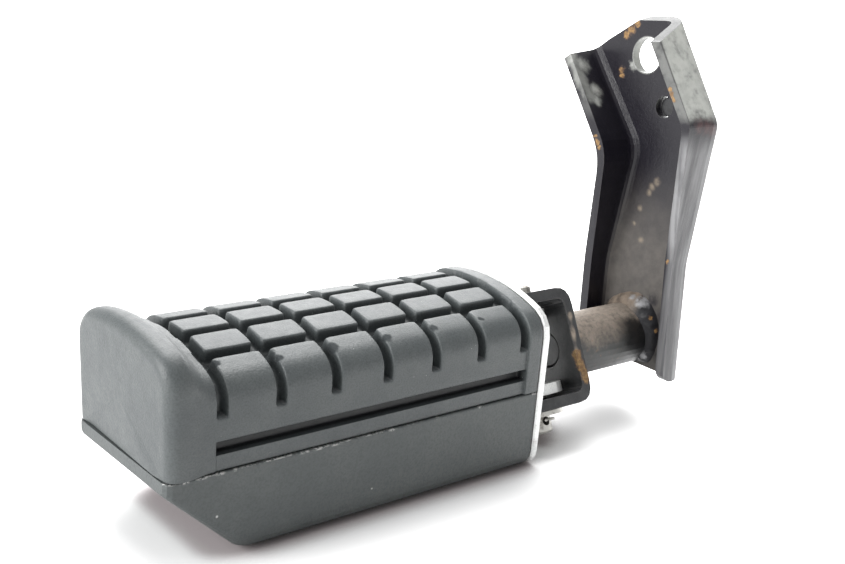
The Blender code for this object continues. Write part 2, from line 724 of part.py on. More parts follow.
def channel_section(back, front):
    """The channel's section between a point of the back outline and its partner on the front outline."""
    start, end = Vector(back[:2]), Vector(front[:2])
    width, across = (end - start).length, (end - start).normalized()
    bend, inner, steps = CHANNEL_BEND, CHANNEL_BEND - SHEET, 4
    outline = [(0.0, -back[2])]
    outline += arc((bend, -bend), bend, pi, pi / 2, steps)
    outline += arc((width - bend, -bend), bend, pi / 2, 0.0, steps)
    outline += [(width, -front[2]), (width - SHEET, -front[2])]
    outline += arc((width - bend, -bend), inner, 0.0, pi / 2, steps)
    outline += arc((bend, -bend), inner, pi / 2, pi, steps)
    outline += [(SHEET, -back[2])]
    return [(WEB_BACK + x, *(start + across * a)) for a, x in outline]


def hanger_channel(material, parent):
    """The dog-leg channel: both edges follow their own outline, and its flanges are deepest at the knee."""
    back, front = rounded(BACK_OUTLINE, 5), rounded(FRONT_OUTLINE, 5)
    channel = loft("hanger_channel", [channel_section(a, b) for a, b in zip(back, front)], material, parent)
    for name, through in (("head_corner", HEAD_CORNER), ("head_top", HEAD_TOP)):
        through = [(WEB_BACK + x, y, z) for x, y, z in through]
        boolean(channel, plane_cutter(name, through, 0.06, parent))
    for name, outline in (("foot_round_back", BACK_OUTLINE), ("foot_round_front", FRONT_OUTLINE)):
        edge, foot, depth, _ = outline[0]
        free, over = WEB_BACK - depth, FOOT_ROUND / 2
        middle = (free + FOOT_ROUND, foot + FOOT_ROUND)
        corner = [(free - over, foot - over), (middle[0], foot - over), *arc(middle, FOOT_ROUND, -pi / 2, -pi, 6)]
        corner.append((free - over, middle[1]))
        ends = sorted((edge + 2 * SHEET, edge - 2 * SHEET))
        boolean(channel, prism(name, corner, "Y", *ends, parent=parent))
    for name, (y, z, diameter) in (("bolt_hole", BOLT_HOLE), ("plug_hole", PLUG_HOLE)):
        hole = about_x(rod(name, diameter, -0.01, 0.01, parent=parent), WEB_BACK)
        hole.location.y, hole.location.z = y, z
        boolean(channel, hole)
    bevelled(channel, 0.0004, 1, radians(60))
    return channel


def hole_plug(material, parent):
    """The plug that closes the hanger's small hole, flush with the back of the web."""
    y, z, diameter = PLUG_HOLE
    radius, edge = diameter / 2 - GAP, 0.0003
    profile = [
        (0.0, -PLUG_THICKNESS),
        (radius - edge, -PLUG_THICKNESS),
        (radius, edge - PLUG_THICKNESS),
        (radius, 0.0),
        (0.0, 0.0),
    ]
    plug = about_x(turned("hole_plug", profile, material, parent, 24), WEB_BACK - GAP / 3)
    plug.location.y, plug.location.z = y, z
    return plug


def pivot_pin(material, hinge):
    """The headed pin, with a cross hole near its lower end."""
    head, shank, edge = PIN_HEAD_DIAMETER / 2, PIN_DIAMETER / 2, 0.0006
    seat = EAR_FACE + GAP
    tail = -EAR_FACE - GAP - WASHER_THICKNESS - PIN_TAIL
    profile = [
        (0.0, seat + PIN_HEAD_HEIGHT),
        (head - edge, seat + PIN_HEAD_HEIGHT),
        (head, seat + PIN_HEAD_HEIGHT - edge),
        (head, seat),
        (shank, seat),
        (shank, tail + edge),
        (shank - edge, tail),
        (0.0, tail),
    ]
    pin = turned("pivot_pin", profile, material, hinge)
    cross = rod("cotter_bore", COTTER_HOLE, -0.02, 0.02, parent=hinge, steps=16)
    cross.rotation_euler = (pi / 2, 0.0, 0.0)
    cross.location.z = cotter_height()
    boolean(pin, cross)
    return pin


def cotter_height():
    """How high the split pin lies in the hinge's own frame."""
    return -EAR_FACE - GAP - WASHER_THICKNESS - GAP - COTTER_HOLE / 2


def cotter_pin(material, hinge):
    """The split pin: a bent wire with an eye at the back and two legs turned apart at the front."""
    radius, apart = COTTER_WIRE / 2, COTTER_WIRE / 2 + 0.00012
    shank = PIN_DIAMETER / 2
    eye, leg = 0.0016, 0.0017
    bent = [(apart, shank), (apart, -shank - 0.0002), (apart + 0.0006, -shank - 0.0012), (leg, -shank - leg)]
    route = [(-x, y) for x, y in reversed(bent)]
    loop_steps = 8
    for k in range(loop_steps + 1):
        t = pi * (1.25 - 1.5 * k / loop_steps)
        route.append((eye * cos(t), shank + 0.0026 + eye * sin(t)))
    route += bent
    wire = bpy.data.curves.new("cotter_pin", "CURVE")
    wire.dimensions = "3D"
    wire.bevel_depth = radius
    wire.bevel_resolution = 2
    wire.use_fill_caps = True
    spline = wire.splines.new("POLY")
    spline.points.add(len(route) - 1)
    for point, (x, y) in zip(spline.points, route):
        point.co = (x, y, 0.0, 1.0)
    made = bpy.data.objects.new("cotter_pin", wire)
    wire.materials.append(material)
    made.parent = hinge
    made.location.z = cotter_height()
    bpy.context.scene.collection.objects.link(made)
    return made


def wave_washer(material, hinge):
    """The thin spring washer in the gap between the upper lug and ear."""
    room = EAR_INSIDE - LUG_UPPER_FACE
    thickness, wave = 0.3 * room, 0.12 * room
    middle = LUG_UPPER_FACE + room / 2
    washer = ring(
        "wave_washer", WASHER_DIAMETER, PIN_HOLE + GAP, middle - thickness / 2, middle + thickness / 2, material, hinge
    )
    for vertex in washer.data.vertices:
        vertex.co.z += wave * sin(3 * atan2(vertex.co.y, vertex.co.x))
    return washer


def build():
    """Makes every piece about the pivot."""
    for old in list(bpy.data.objects):
        bpy.data.objects.remove(old)

    black_paint = finish("black_paint", (0.030, 0.030, 0.034), 0.42, 0.0)
    bare_tube = finish("rusty_paint", (0.085, 0.070, 0.058), 0.60, 0.2)
    weld = finish("weld_steel", (0.16, 0.15, 0.15), 0.50, 0.7)
    zinc = finish("zinc_steel", (0.45, 0.44, 0.42), 0.42, 0.9)
    bare_aluminium = finish("cast_aluminium", (0.62, 0.62, 0.61), 0.45, 0.9)
    shell_paint = finish("grey_black_paint", (0.045, 0.050, 0.052), 0.50, 0.0)
    rubber = finish("black_rubber", (0.040, 0.045, 0.047), 0.60, 0.0)

    pivot = bpy.data.objects.new("peg_fold_pivot", None)
    pivot.location = PIVOT
    hinge = bpy.data.objects.new("pin_lean", None)
    hinge.parent = pivot
    hinge.rotation_euler = (-PIN_LEAN, 0.0, 0.0)
    for empty in (pivot, hinge):
        bpy.context.scene.collection.objects.link(empty)

    hanger_channel(black_paint, pivot)
    stub_tube(bare_tube, pivot)
    clevis(black_paint, hinge)
    at_web = weld_bead("weld_bead_hanger", WELD_LEG_HANGER, WELD_BLOB, 0.9, -1, weld, pivot)
    at_web.location.x = WEB_BACK - SHEET - GAP
    press_to_channel(at_web)
    foot = FRONT_OUTLINE[0][1]
    below = [(-TUBE_DIAMETER, foot), (TUBE_DIAMETER, foot), (TUBE_DIAMETER, 2 * foot), (-TUBE_DIAMETER, 2 * foot)]
    boolean(at_web, prism("below_foot", below, "X", 0.0, WEB_BACK, parent=pivot))
    at_clevis = weld_bead("weld_bead_clevis", WELD_LEG_CLEVIS, 0.0, 0.95, 1, weld, pivot)
    at_clevis.location.x = CLEVIS_WEB_FROM_PIVOT + GAP
    hole_plug(zinc, pivot)
    pivot_pin(zinc, hinge)
    washer_top = -EAR_FACE - GAP
    ring("pivot_washer", WASHER_DIAMETER, PIN_HOLE, washer_top - WASHER_THICKNESS, washer_top, zinc, hinge)
    cotter_pin(zinc, hinge)
    wave_washer(zinc, hinge)

    peg_core(bare_aluminium, pivot, hinge)
    tread_pad(rubber, pivot)
    lower_shell(shell_paint, pivot)
    pad_insert(zinc, pivot)
    for name, place in zip(("outer", "inner"), SCREW_PLACES):
        clamp_screw(f"clamp_screw_{name}", place, zinc, pivot)
        screw_washer(f"screw_washer_{name}", place, zinc, pivot)


if __name__ == "__main__":
    build()
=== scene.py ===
"""Looks of the folding passenger footpeg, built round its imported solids.

The frame brings every solid piece. This script gives each of them its finish, and puts finer pieces in the place of
the moulded pad, the painted shell, the two welds and the split pin. Lengths are in metres, in the part's own frame:
X runs inboard along the peg, Y across it and Z up. Only spots and lines on a finish are in millimetres.
"""

import logging
from dataclasses import dataclass, field
from enum import Enum
from functools import cached_property, reduce
from math import asin, cos, exp, hypot, pi, radians, sin, tau
from operator import or_
from typing import Any, Sequence

import bpy
from mathutils import Matrix, Vector, noise


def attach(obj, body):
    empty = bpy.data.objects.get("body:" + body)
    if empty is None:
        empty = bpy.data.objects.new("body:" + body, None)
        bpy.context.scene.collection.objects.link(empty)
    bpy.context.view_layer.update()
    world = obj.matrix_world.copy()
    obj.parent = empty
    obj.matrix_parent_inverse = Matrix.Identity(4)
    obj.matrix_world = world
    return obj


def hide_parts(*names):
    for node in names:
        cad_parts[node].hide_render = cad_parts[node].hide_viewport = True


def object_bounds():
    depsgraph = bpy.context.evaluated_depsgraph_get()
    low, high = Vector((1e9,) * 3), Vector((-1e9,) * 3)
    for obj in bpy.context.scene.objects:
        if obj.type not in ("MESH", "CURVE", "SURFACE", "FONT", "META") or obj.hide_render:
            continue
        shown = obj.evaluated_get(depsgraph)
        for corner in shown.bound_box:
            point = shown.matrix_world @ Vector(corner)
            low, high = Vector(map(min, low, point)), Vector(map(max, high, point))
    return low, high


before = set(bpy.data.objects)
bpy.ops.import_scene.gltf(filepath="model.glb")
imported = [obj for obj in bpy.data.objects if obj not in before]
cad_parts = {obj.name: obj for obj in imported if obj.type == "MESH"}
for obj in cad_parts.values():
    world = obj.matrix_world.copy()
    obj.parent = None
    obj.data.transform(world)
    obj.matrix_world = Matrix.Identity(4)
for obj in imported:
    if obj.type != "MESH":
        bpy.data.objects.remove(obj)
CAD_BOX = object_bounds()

log = logging.getLogger("footpeg")

Colour = tuple[float, float, float]
Place = tuple[float, float, float]
Pair = tuple[float, float]
# Where a mask starts and where it is full.
Span = tuple[float, float]
# X, Y, Z and radius of each spot, in millimetres.
Spots = tuple[tuple[float, float, float, float], ...]
# The two ends of a line, in millimetres.
Line = tuple[Place, Place]
Material = bpy.types.Material
Piece = bpy.types.Object

MM = 0.001
WHITE = (1.0, 1.0, 1.0, 1.0)
PIVOT = Vector((-49.1, -2.15, -78.1)) * MM
PIN_LEAN = radians(27.0)
PEG_NOSE = -173.4 * MM
PEG_HALF_WIDTH = 21.0 * MM
NOSE_SLANT = 0.025
MOULDED_EDGE = radians(48)
ROUNDED_EDGE = radians(60)
# Stations closer than this are taken as one.
CLOSE_STATIONS = 0.02 * MM
# Rounds a number of steps up, unless it is whole.
ROUND_UP = 0.4999
RUST_RIM = (0.070, 0.040, 0.030)
RUST_BROWN = (0.135, 0.075, 0.036)
RUST_GOLD = (0.34, 0.205, 0.080)


class Socket:
    """One output socket of a shader, which can stand in ordinary arithmetic."""

    def __init__(self, shader: "Shader", socket: bpy.types.NodeSocket) -> None:
        """Keeps the socket and the shader that it belongs to."""
        self.shader = shader
        self.socket = socket

    def _math(self, operation: str, first: "Socket | float", second: "Socket | float") -> "Socket":
        """Adds one Math node with its two operands."""
        return self.shader.add("ShaderNodeMath", {"operation": operation}, {0: first, 1: second})

    def __add__(self, other: "Socket | float") -> "Socket":
        """The sum."""
        return self._math("ADD", self, other)

    def __sub__(self, other: "Socket | float") -> "Socket":
        """The difference."""
        return self._math("SUBTRACT", self, other)

    def __rsub__(self, other: float) -> "Socket":
        """The difference, with the number first."""
        return self._math("SUBTRACT", other, self)

    def __mul__(self, other: "Socket | float") -> "Socket":
        """The product."""
        return self._math("MULTIPLY", self, other)

    def __or__(self, other: "Socket | float") -> "Socket":
        """The larger of two masks."""
        return self._math("MAXIMUM", self, other)

    __radd__, __rmul__, __ror__ = __add__, __mul__, __or__

    def rise(self, low: float, high: float) -> "Socket":
        """A smooth step, 0 at the low end and 1 at the high end, which may be the smaller number."""
        ends = {"Value": self, "From Min": low, "From Max": high}
        return self.shader.add("ShaderNodeMapRange", {"interpolation_type": "SMOOTHSTEP"}, ends)


class Shader:
    """Builds the nodes of one material or world, and keeps the colour that is laid so far."""

    def __init__(self, name: str, base: Colour = (1.0, 1.0, 1.0), world: bpy.types.World | None = None) -> None:
        """Starts an empty tree.

        Args:
            name: The material's name.
            base: The lowest colour.
            world: The world to build instead of a material.
        """
        self.colour: Socket | Colour = base
        self.owner = world or bpy.data.materials.new(name)
        self.owner.use_nodes = True
        self.tree = self.owner.node_tree
        self.tree.nodes.clear()

    def add(
        self,
        kind: str,
        settings: dict[str, Any] | None = None,
        inputs: dict[str | int, Any] | None = None,
        output: str | int = 0,
    ) -> Socket:
        """Adds a node of any type.

        Args:
            kind: The node's type.
            settings: The node's own settings, set first.
            inputs: The values or links of its sockets, by name or number.
            output: The output to hand back, by name or number.

        Returns:
            That output.
        """
        node = self.tree.nodes.new(kind)
        for name, value in (settings or {}).items():
            setattr(node, name, value)
        for name, value in (inputs or {}).items():
            if isinstance(value, Socket):
                self.tree.links.new(value.socket, node.inputs[name])
            else:
                node.inputs[name].default_value = value
        return Socket(self, node.outputs[output] if node.outputs else node.inputs[0])

    def vector(self, operation: str, *operands: Any, output: str = "Vector") -> Socket:
        """Adds one Vector Math node, its operands in the order of its sockets."""
        return self.add("ShaderNodeVectorMath", {"operation": operation}, dict(enumerate(operands)), output)

    @cached_property
    def places(self) -> Socket:
        """The object's own coordinates, in metres."""
        return self.add("ShaderNodeTexCoord", output="Object")

    @cached_property
    def facing(self) -> Socket:
        """The way that the surface faces, without its bumps."""
        return self.add("ShaderNodeNewGeometry", output="Normal")

    def axis(self, name: str, source: Socket | None = None) -> Socket:
        """The X, Y or Z part of the object's coordinates, or of another vector."""
        return self.add("ShaderNodeSeparateXYZ", None, {0: source or self.places}, name)

    def noise(self, size: float, detail: float = 3.0, rough: float = 0.55, stretch: Place | None = None) -> Socket:
        """A cloud noise around 0.5.

        Args:
            size: The size of one cloud.
            detail: How many finer layers it has.
            rough: How strong the finer layers are.
            stretch: Factors on the coordinates, so that less than 1 draws the clouds out.

        Returns:
            The noise.
        """
        where = self.vector("MULTIPLY", self.places, stretch) if stretch else self.places
        inputs = {"Vector": where, "Scale": 1.0 / size, "Detail": detail, "Roughness": rough}
        return self.add("ShaderNodeTexNoise", None, inputs, "Fac")

    def grains(self, size: float) -> Socket:
        """The distance to the middle of the nearest grain, in grain sizes."""
        return self.add("ShaderNodeTexVoronoi", None, {"Vector": self.places, "Scale": 1.0 / size}, "Distance")

    def wandering(self, ragged: float) -> Socket:
        """The places, shifted to and fro by a number of millimetres.

        Args:
            ragged: How far they are shifted.

        Returns:
            The shifted places.
        """
        inputs = {"Vector": self.places, "Scale": 500.0, "Detail": 4.0, "Roughness": 0.6}
        cloud = self.add("ShaderNodeTexNoise", None, inputs, "Color")
        shift = self.vector("SUBTRACT", cloud, (0.5, 0.5, 0.5))
        return self.vector("MULTIPLY_ADD", shift, (ragged * 4 * MM,) * 3, self.places)

    def near(self, spots: Spots, ragged: float, core: float = 0.25) -> Socket:
        """A mask round some spots, with ragged outlines.

        Args:
            spots: The spots.
            ragged: How far the outlines wander, in millimetres.
            core: The share of the radius that is covered fully.

        Returns:
            The mask, 1 in the spots.
        """
        where, masks = self.wandering(ragged), []
        for *place, radius in spots:
            reach = self.vector("DISTANCE", where, tuple(value * MM for value in place), output="Value")
            masks.append(reach.rise(radius * MM, radius * MM * core))
        return reduce(or_, masks)

    def stripe(self, line: Line, radius: float, ragged: float) -> Socket:
        """A mask along a straight line, with ragged outlines.

        Args:
            line: The line.
            radius: How far it reaches to either side, in millimetres.
            ragged: How far the outlines wander, in millimetres.

        Returns:
            The mask, 1 on the line.
        """
        start, way = Vector(line[0]) * MM, (Vector(line[1]) - Vector(line[0])) * MM
        offset = self.vector("SUBTRACT", self.wandering(ragged), tuple(start))
        share = self.vector("DOT_PRODUCT", offset, tuple(way / way.length_squared), output="Value").rise(0.0, 1.0)
        foot = self.add("ShaderNodeVectorMath", {"operation": "SCALE"}, {0: tuple(way), "Scale": share})
        reach = self.vector("DISTANCE", offset, foot, output="Value")
        return reach.rise(radius * MM, radius * MM * 0.35)

    def rust(self, where: Socket) -> Socket:
        """Lays soft rust, brown at its rim and golden where it is thick.

        Args:
            where: The mask of the rusted places.

        Returns:
            The rust's own mask.
        """
        eaten = where * (self.noise(0.0026, 4.0, 0.65).rise(0.25, 0.60) * 0.65 + 0.35)
        grain = self.noise(0.0010, 4.0, 0.65).rise(0.30, 0.70)
        tone = self.blend(eaten.rise(0.10, 0.75), RUST_RIM, self.blend(grain, RUST_BROWN, RUST_GOLD))
        self.lay(eaten.rise(0.0, 0.80) * 0.90, tone)
        return eaten

    def edges(self, radius: float) -> Socket:
        """A mask of the edges: 0 on the flat, and more the closer an edge is within the radius."""
        soft = self.add("ShaderNodeBevel", {"samples": 6}, {"Radius": radius}, "Normal")
        return 1.0 - self.vector("DOT_PRODUCT", soft, self.facing, output="Value")

    def blend(self, share: "Socket | float", base: "Socket | Colour", over: "Socket | Colour") -> Socket:
        """Lays one colour over another, as far as the share says."""
        low, high = (value if isinstance(value, Socket) else (*value, 1.0) for value in (base, over))
        return self.add("ShaderNodeMix", {"data_type": "RGBA"}, {0: share, 6: low, 7: high}, 2)

    def lay(self, share: "Socket | float", over: "Socket | Colour") -> None:
        """Lays a colour over what the surface has so far, as far as the share covers it."""
        self.colour = self.blend(share, self.colour, over)

    def bump(self, height: Socket, depth: float, under: Socket | None = None) -> Socket:
        """Raises the surface by a height from 0 to 1 times a depth, on top of a coarser bump if one is given."""
        coarser = {} if under is None else {"Normal": under}
        return self.add("ShaderNodeBump", None, {"Height": height, "Distance": depth, **coarser}, "Normal")

    def close(self, **sockets: Any) -> Material:
        """Ends the material with its Principled shader, in the colour that was laid.

        Args:
            **sockets: The shader's other sockets, with "_" for each space in a name.

        Returns:
            The material.
        """
        inputs = {name.replace("_", " "): value for name, value in sockets.items()}
        surface = self.add("ShaderNodeBsdfPrincipled", None, {"Base Color": self.colour, **inputs}, "BSDF")
        self.add("ShaderNodeOutputMaterial", None, {"Surface": surface})
        return self.owner


@dataclass(frozen=True)
class MouldedRubber:
    """Black rubber that has dulled to grey: fine mould grain, handling marks, a little dust, and painted shade in its
    slots, grooves and tears.
    """

    colour: Colour = (0.051, 0.059, 0.061)
    dulled: Colour = (0.072, 0.081, 0.081)
    deep: Colour = (0.020, 0.024, 0.026)
    black: Colour = (0.006, 0.007, 0.008)
    dust: Colour = (0.30, 0.31, 0.30)
    tears: Spots = (
        (-158.6, -16.2, -56.5, 1.7), (-143.9, -16.2, -57.0, 1.5), (-143.2, -18.0, -57.1, 1.3),
        (-128.5, -18.0, -57.2, 2.0), (-112.7, -18.4, -57.1, 1.7), (-97.7, -18.2, -57.0, 1.5),
        (-82.2, -18.4, -57.0, 1.2),
    )
    # Depths over which the painted shade darkens the slots and grooves, and then turns them black.
    darkened: Span = (0.25 * MM, 1.8 * MM)
    black_shade: Span = (3.6 * MM, 6.0 * MM)
    roughness: float = 0.46
    grain: float = 0.00042

    def make(self) -> Material:
        """Builds the material.

        Returns:
            The material.
        """
        shader = Shader("pad_rubber", self.colour)
        cloud = shader.noise(0.012, 4.0)
        fine = shader.noise(self.grain, 2.0)
        shader.lay(cloud.rise(0.24, 0.80), self.dulled)
        shader.lay(fine.rise(0.64, 0.28) * 0.42, self.deep)
        sunk = shader.add("ShaderNodeAttribute", {"attribute_name": "sunk"}, output="Fac")
        # Painted shade: darker with depth in the slots and grooves, and black deep in the side grooves.
        shader.lay(sunk.rise(*self.darkened) * 0.36, self.deep)
        shader.lay(sunk.rise(*self.black_shade), self.black)
        specks = shader.grains(0.0026).rise(0.060, 0.030) * shader.noise(0.0060, 2.0).rise(0.50, 0.60)
        # Torn notches, painted dark: partly the torn rubber's own colour, partly painted shade inside them.
        torn = shader.near(self.tears, 0.55, 0.5)
        shader.lay(torn * 0.85, self.deep)
        shader.lay(specks * 0.8, self.dust)
        rub = shader.noise(0.0022, 3.0, 0.6)
        roughness = self.roughness + (rub - 0.5) * 0.22 + specks * 0.2 + torn * 0.5
        coarse = shader.bump(shader.noise(0.006, 2.0), 0.00012)
        normal = shader.bump(fine, 0.00009, coarse)
        return shader.close(Roughness=roughness, Normal=normal)


@dataclass(frozen=True)
class ShellPaint:
    """Grey-black paint on cast metal: sand-cast grain under the coat, chipped along the upper edge.

    The seam's height is in millimetres, and so are the rim and its crest, which are measured from the seam.
    """

    colour: Colour = (0.052, 0.060, 0.060)
    faded: Colour = (0.068, 0.076, 0.075)
    grain: Colour = (0.024, 0.028, 0.030)
    metal: Colour = (0.38, 0.38, 0.37)
    seam_height: float = -79.25
    rim: Span = (-0.75, -0.25)
    crest: Span = (-0.40, -0.15)
    outboard: Span = (-0.095, -0.125)
    front: Span = (-0.0210, -0.0224)
    chips: Spots = (
        (-169.2, -23.0, -79.5, 1.5), (-165.0, -23.3, -79.4, 1.6), (-160.4, -23.3, -79.4, 1.7),
        (-156.6, -23.3, -79.4, 1.3), (-138.4, -23.3, -79.3, 1.5), (-134.5, -23.3, -79.3, 1.6),
        (-130.0, -23.3, -79.3, 1.7), (-113.0, -23.3, -79.3, 1.2), (-98.0, -23.3, -79.2, 1.0),
        (-84.0, -23.3, -79.2, 1.3), (-64.4, -23.3, -79.3, 1.4), (-120.0, 18.9, -79.3, 1.5), (-91.0, 18.9, -79.3, 1.4),
    )
    specks: Spots = (
        (-161.1, -23.3, -89.8, 0.45), (-118.0, -23.3, -94.0, 0.35), (-140.0, 18.9, -90.0, 0.50),
    )

    def make(self) -> Material:
        """Builds the material.

        Returns:
            The material.
        """
        shader = Shader("shell_paint", self.colour)
        cloud = shader.noise(0.014, 4.0)
        sand = shader.noise(0.00055, 2.0)
        shader.lay(cloud.rise(0.34, 0.70), self.faded)
        shader.lay(sand.rise(0.62, 0.28) * 0.40, self.grain)
        height = shader.axis("Z")
        rim, crest = (
            height.rise((self.seam_height + low) * MM, (self.seam_height + high) * MM)
            for low, high in (self.rim, self.crest)
        )
        flakes = shader.noise(0.0006, 4.0, 0.7).rise(0.46, 0.53)
        sparse = shader.noise(0.0080, 2.0).rise(0.40, 0.56) * shader.axis("X").rise(*self.outboard)
        sparse = sparse * shader.axis("Y").rise(*self.front)
        bare = (shader.near(self.chips, 0.45) * rim | sparse * crest) * flakes | shader.near(self.specks, 0.1)
        shader.lay(bare, self.metal)
        roughness = 0.50 + (cloud - 0.5) * 0.16 - bare * 0.12
        coarse = shader.bump(shader.noise(0.0045, 3.0), 0.00016)
        normal = shader.bump(sand, 0.00009, coarse)
        return shader.close(Roughness=roughness, Metallic=bare * 0.8, Normal=normal)


@dataclass(frozen=True)
class HangerPaint:
    """Black stove paint on pressed steel: worn to grey, dusted brown inside, with spots of rust, painted sheen, painted
    highlights and painted shade.

    Its spans lie along X for the web, the lip, the sheen's depth and the hollow, along Y where the name ends in across,
    and along Z for the rest. The last two are parts of the surface's direction.
    """

    colour: Colour = (0.008, 0.007, 0.011)
    dusty: Colour = (0.105, 0.096, 0.086)
    painted_sheen: Colour = (0.46, 0.47, 0.44)
    worn_grey_and_sheen: Colour = (0.25, 0.25, 0.255)
    worn: Colour = (0.095, 0.092, 0.090)
    end: Colour = (0.016, 0.017, 0.017)
    maroon: Colour = (0.085, 0.040, 0.040)
    pale: Colour = (0.26, 0.21, 0.155)
    rust_spots: Spots = (
        (-3.0, 11.6, 13.6, 2.3), (-3.0, 13.3, 12.0, 1.9), (-3.0, 9.6, 15.6, 1.6), (-3.0, 13.5, 1.4, 1.7),
        (-3.0, 13.0, -0.4, 1.4), (-16.5, -16.6, 0.2, 1.3), (-16.5, -17.5, -1.0, 1.5), (-16.5, -18.4, -2.4, 1.3),
        (-16.7, 8.6, -17.4, 1.4), (-16.7, 7.6, -18.9, 1.6), (-16.6, 6.6, -20.6, 1.2), (-10.4, -19.6, -49.9, 1.1),
        (0.0, -15.0, -26.0, 1.5), (0.0, -16.3, -28.0, 1.3),
    )
    pale_specks: Spots = (
        (-3.0, -4.0, -31.3, 1.7), (-3.0, -5.7, -29.4, 1.9), (-3.0, -3.2, -33.2, 1.5), (-3.0, -0.5, -38.7, 1.4),
        (-3.0, -2.6, -48.3, 1.5), (-3.0, 1.0, -44.0, 1.1),
    )
    maroon_spots: Spots = (
        (-11.6, -24.8, -8.4, 3.0), (-8.1, -24.9, -9.0, 3.4), (-5.2, -24.9, -10.2, 3.2),
    )
    sheen_spots: Spots = (
        (-15.6, 23.6, 4.6, 4.6), (-12.0, 21.4, 2.2, 4.0), (-10.8, 16.4, -5.2, 3.4), (-11.9, 14.3, -7.6, 3.0),
        (-2.9, 9.4, 3.4, 2.0),
    )
    sheen_band: Line = ((-15.4, 23.0, 3.6), (-13.8, 15.0, -6.8))
    bore: Spots = ((-1.5, 4.55, 7.0, 6.0),)
    shade_spots: Spots = (
        (-4.5, -14.5, -70.0, 5.0), (-5.0, -17.0, -74.5, 6.5), (-5.0, -17.0, -81.5, 6.5), (-3.0, -10.5, -66.0, 3.0),
    )
    web: Span = (-0.0060, -0.0034)
    lip: Span = (-0.0158, -0.0163)
    sheen_depth: Span = (-0.0010, -0.0040)
    hollow: tuple[Span, Span] = ((-0.0030, -0.0034), (-0.0120, -0.0130))
    head_across: Span = (0.004, -0.006)
    far_across: Span = (0.002, 0.006)
    flange_across: Span = (-0.0185, -0.0205)
    dusted: Span = (-0.022, -0.057)
    head: Span = (-0.0085, -0.0050)
    far_lip: Span = (-0.014, -0.004)
    bore_top: Span = (-0.004, 0.006)
    top: Span = (0.002, 0.004)
    streaked: Span = (-0.009, -0.018)
    turned_out: Span = (-0.30, -0.75)
    turned_up: Span = (0.66, 0.80)

    def make(self) -> Material:
        """Builds the material.

        Returns:
            The material.
        """
        shader = Shader("hanger_paint", self.colour)
        depth, across, height = (shader.axis(name) for name in "XYZ")
        outward, upward = (shader.axis(name, shader.facing) for name in "XZ")
        mottle = shader.noise(0.0045, 5.0, 0.62)
        soft = shader.noise(0.0030, 4.0, 0.60)
        inside = depth.rise(*self.web) * outward.rise(*self.turned_out)
        dust = inside * height.rise(*self.dusted) * (mottle.rise(0.20, 0.75) * 0.45 + 0.55)
        shader.lay(dust * 0.85, self.dusty)
        lip = depth.rise(*self.lip)
        # Painted sheen on the upper outer flange, where the paint reflects the light, laid as a pale coat.
        head = (height + (mottle - 0.5) * 0.004).rise(*self.head) * across.rise(*self.head_across)
        cover = soft.rise(0.25, 0.55) * 0.40 + mottle.rise(0.28, 0.62) * 0.25 + 0.33
        head = head * depth.rise(*self.sheen_depth) * (1.0 - inside) * (1.0 - lip * 0.72)
        shader.lay(head * cover, self.painted_sheen)
        # Painted highlights on the far flange's inner face, and a painted highlight along its free edge.
        sheen_patches = shader.near(self.sheen_spots, 0.8, 0.1) | shader.stripe(self.sheen_band, 3.2, 0.6) * 0.6
        sheen_patches = sheen_patches * (soft.rise(0.20, 0.60) * 0.5 + 0.5)
        far_lip = lip * across.rise(*self.far_across) * height.rise(*self.far_lip)
        shader.lay(sheen_patches * 0.75 | far_lip * 0.40, self.painted_sheen)
        # Painted light on the upper side of the bore.
        bore = shader.near(self.bore, 0.0, 0.9) * height.rise(*self.bore_top)
        shader.lay(bore * cover * 0.9, self.painted_sheen)
        top_end = upward.rise(*self.turned_up) * height.rise(*self.top) * (1.0 - bore)
        shader.lay(top_end, self.end)
        # Streaks on the near flange's outer face: worn grey paint and painted sheen.
        broad = shader.noise(0.0036, 2.0, 0.5, (1.0, 1.0, 0.05))
        fine = shader.noise(0.0012, 3.0, 0.6, (1.0, 1.0, 0.04))
        streaks = broad * 0.65 + fine * 0.35
        outer = across.rise(*self.flange_across) * height.rise(*self.streaked) * (1.0 - lip * 0.75)
        shader.lay(outer * (streaks.rise(0.32, 0.66) * 0.62 + 0.30), self.worn_grey_and_sheen)
        hollow = depth.rise(*self.hollow[0]) * (1.0 - depth.rise(*self.hollow[1]))
        worn = shader.edges(0.0008).rise(0.08, 0.32) * soft.rise(0.36, 0.60) * (1.0 - hollow)
        shader.lay(worn * 0.5, self.worn)
        shader.lay(shader.near(self.maroon_spots, 1.2, 0.1) * 0.65, self.maroon)
        # Painted shade beside the weld, in the paint's own black.
        shader.lay(shader.near(self.shade_spots, 1.0, 0.1) * 0.85, self.colour)
        flecks = shader.near(self.pale_specks, 0.30, 0.0) * soft.rise(0.20, 0.60)
        shader.lay(flecks * 0.60, self.pale)
        eaten = shader.rust(shader.near(self.rust_spots, 0.7))
        roughness = 0.34 + dust * 0.30 + eaten * 0.40 + (streaks - 0.5) * 0.28 + head * 0.10
        normal = shader.bump(shader.noise(0.0006, 3.0) + eaten * 0.8, 0.00005, shader.bump(mottle, 0.00012))
        return shader.close(Roughness=roughness, Specular_IOR_Level=0.32, Normal=normal)


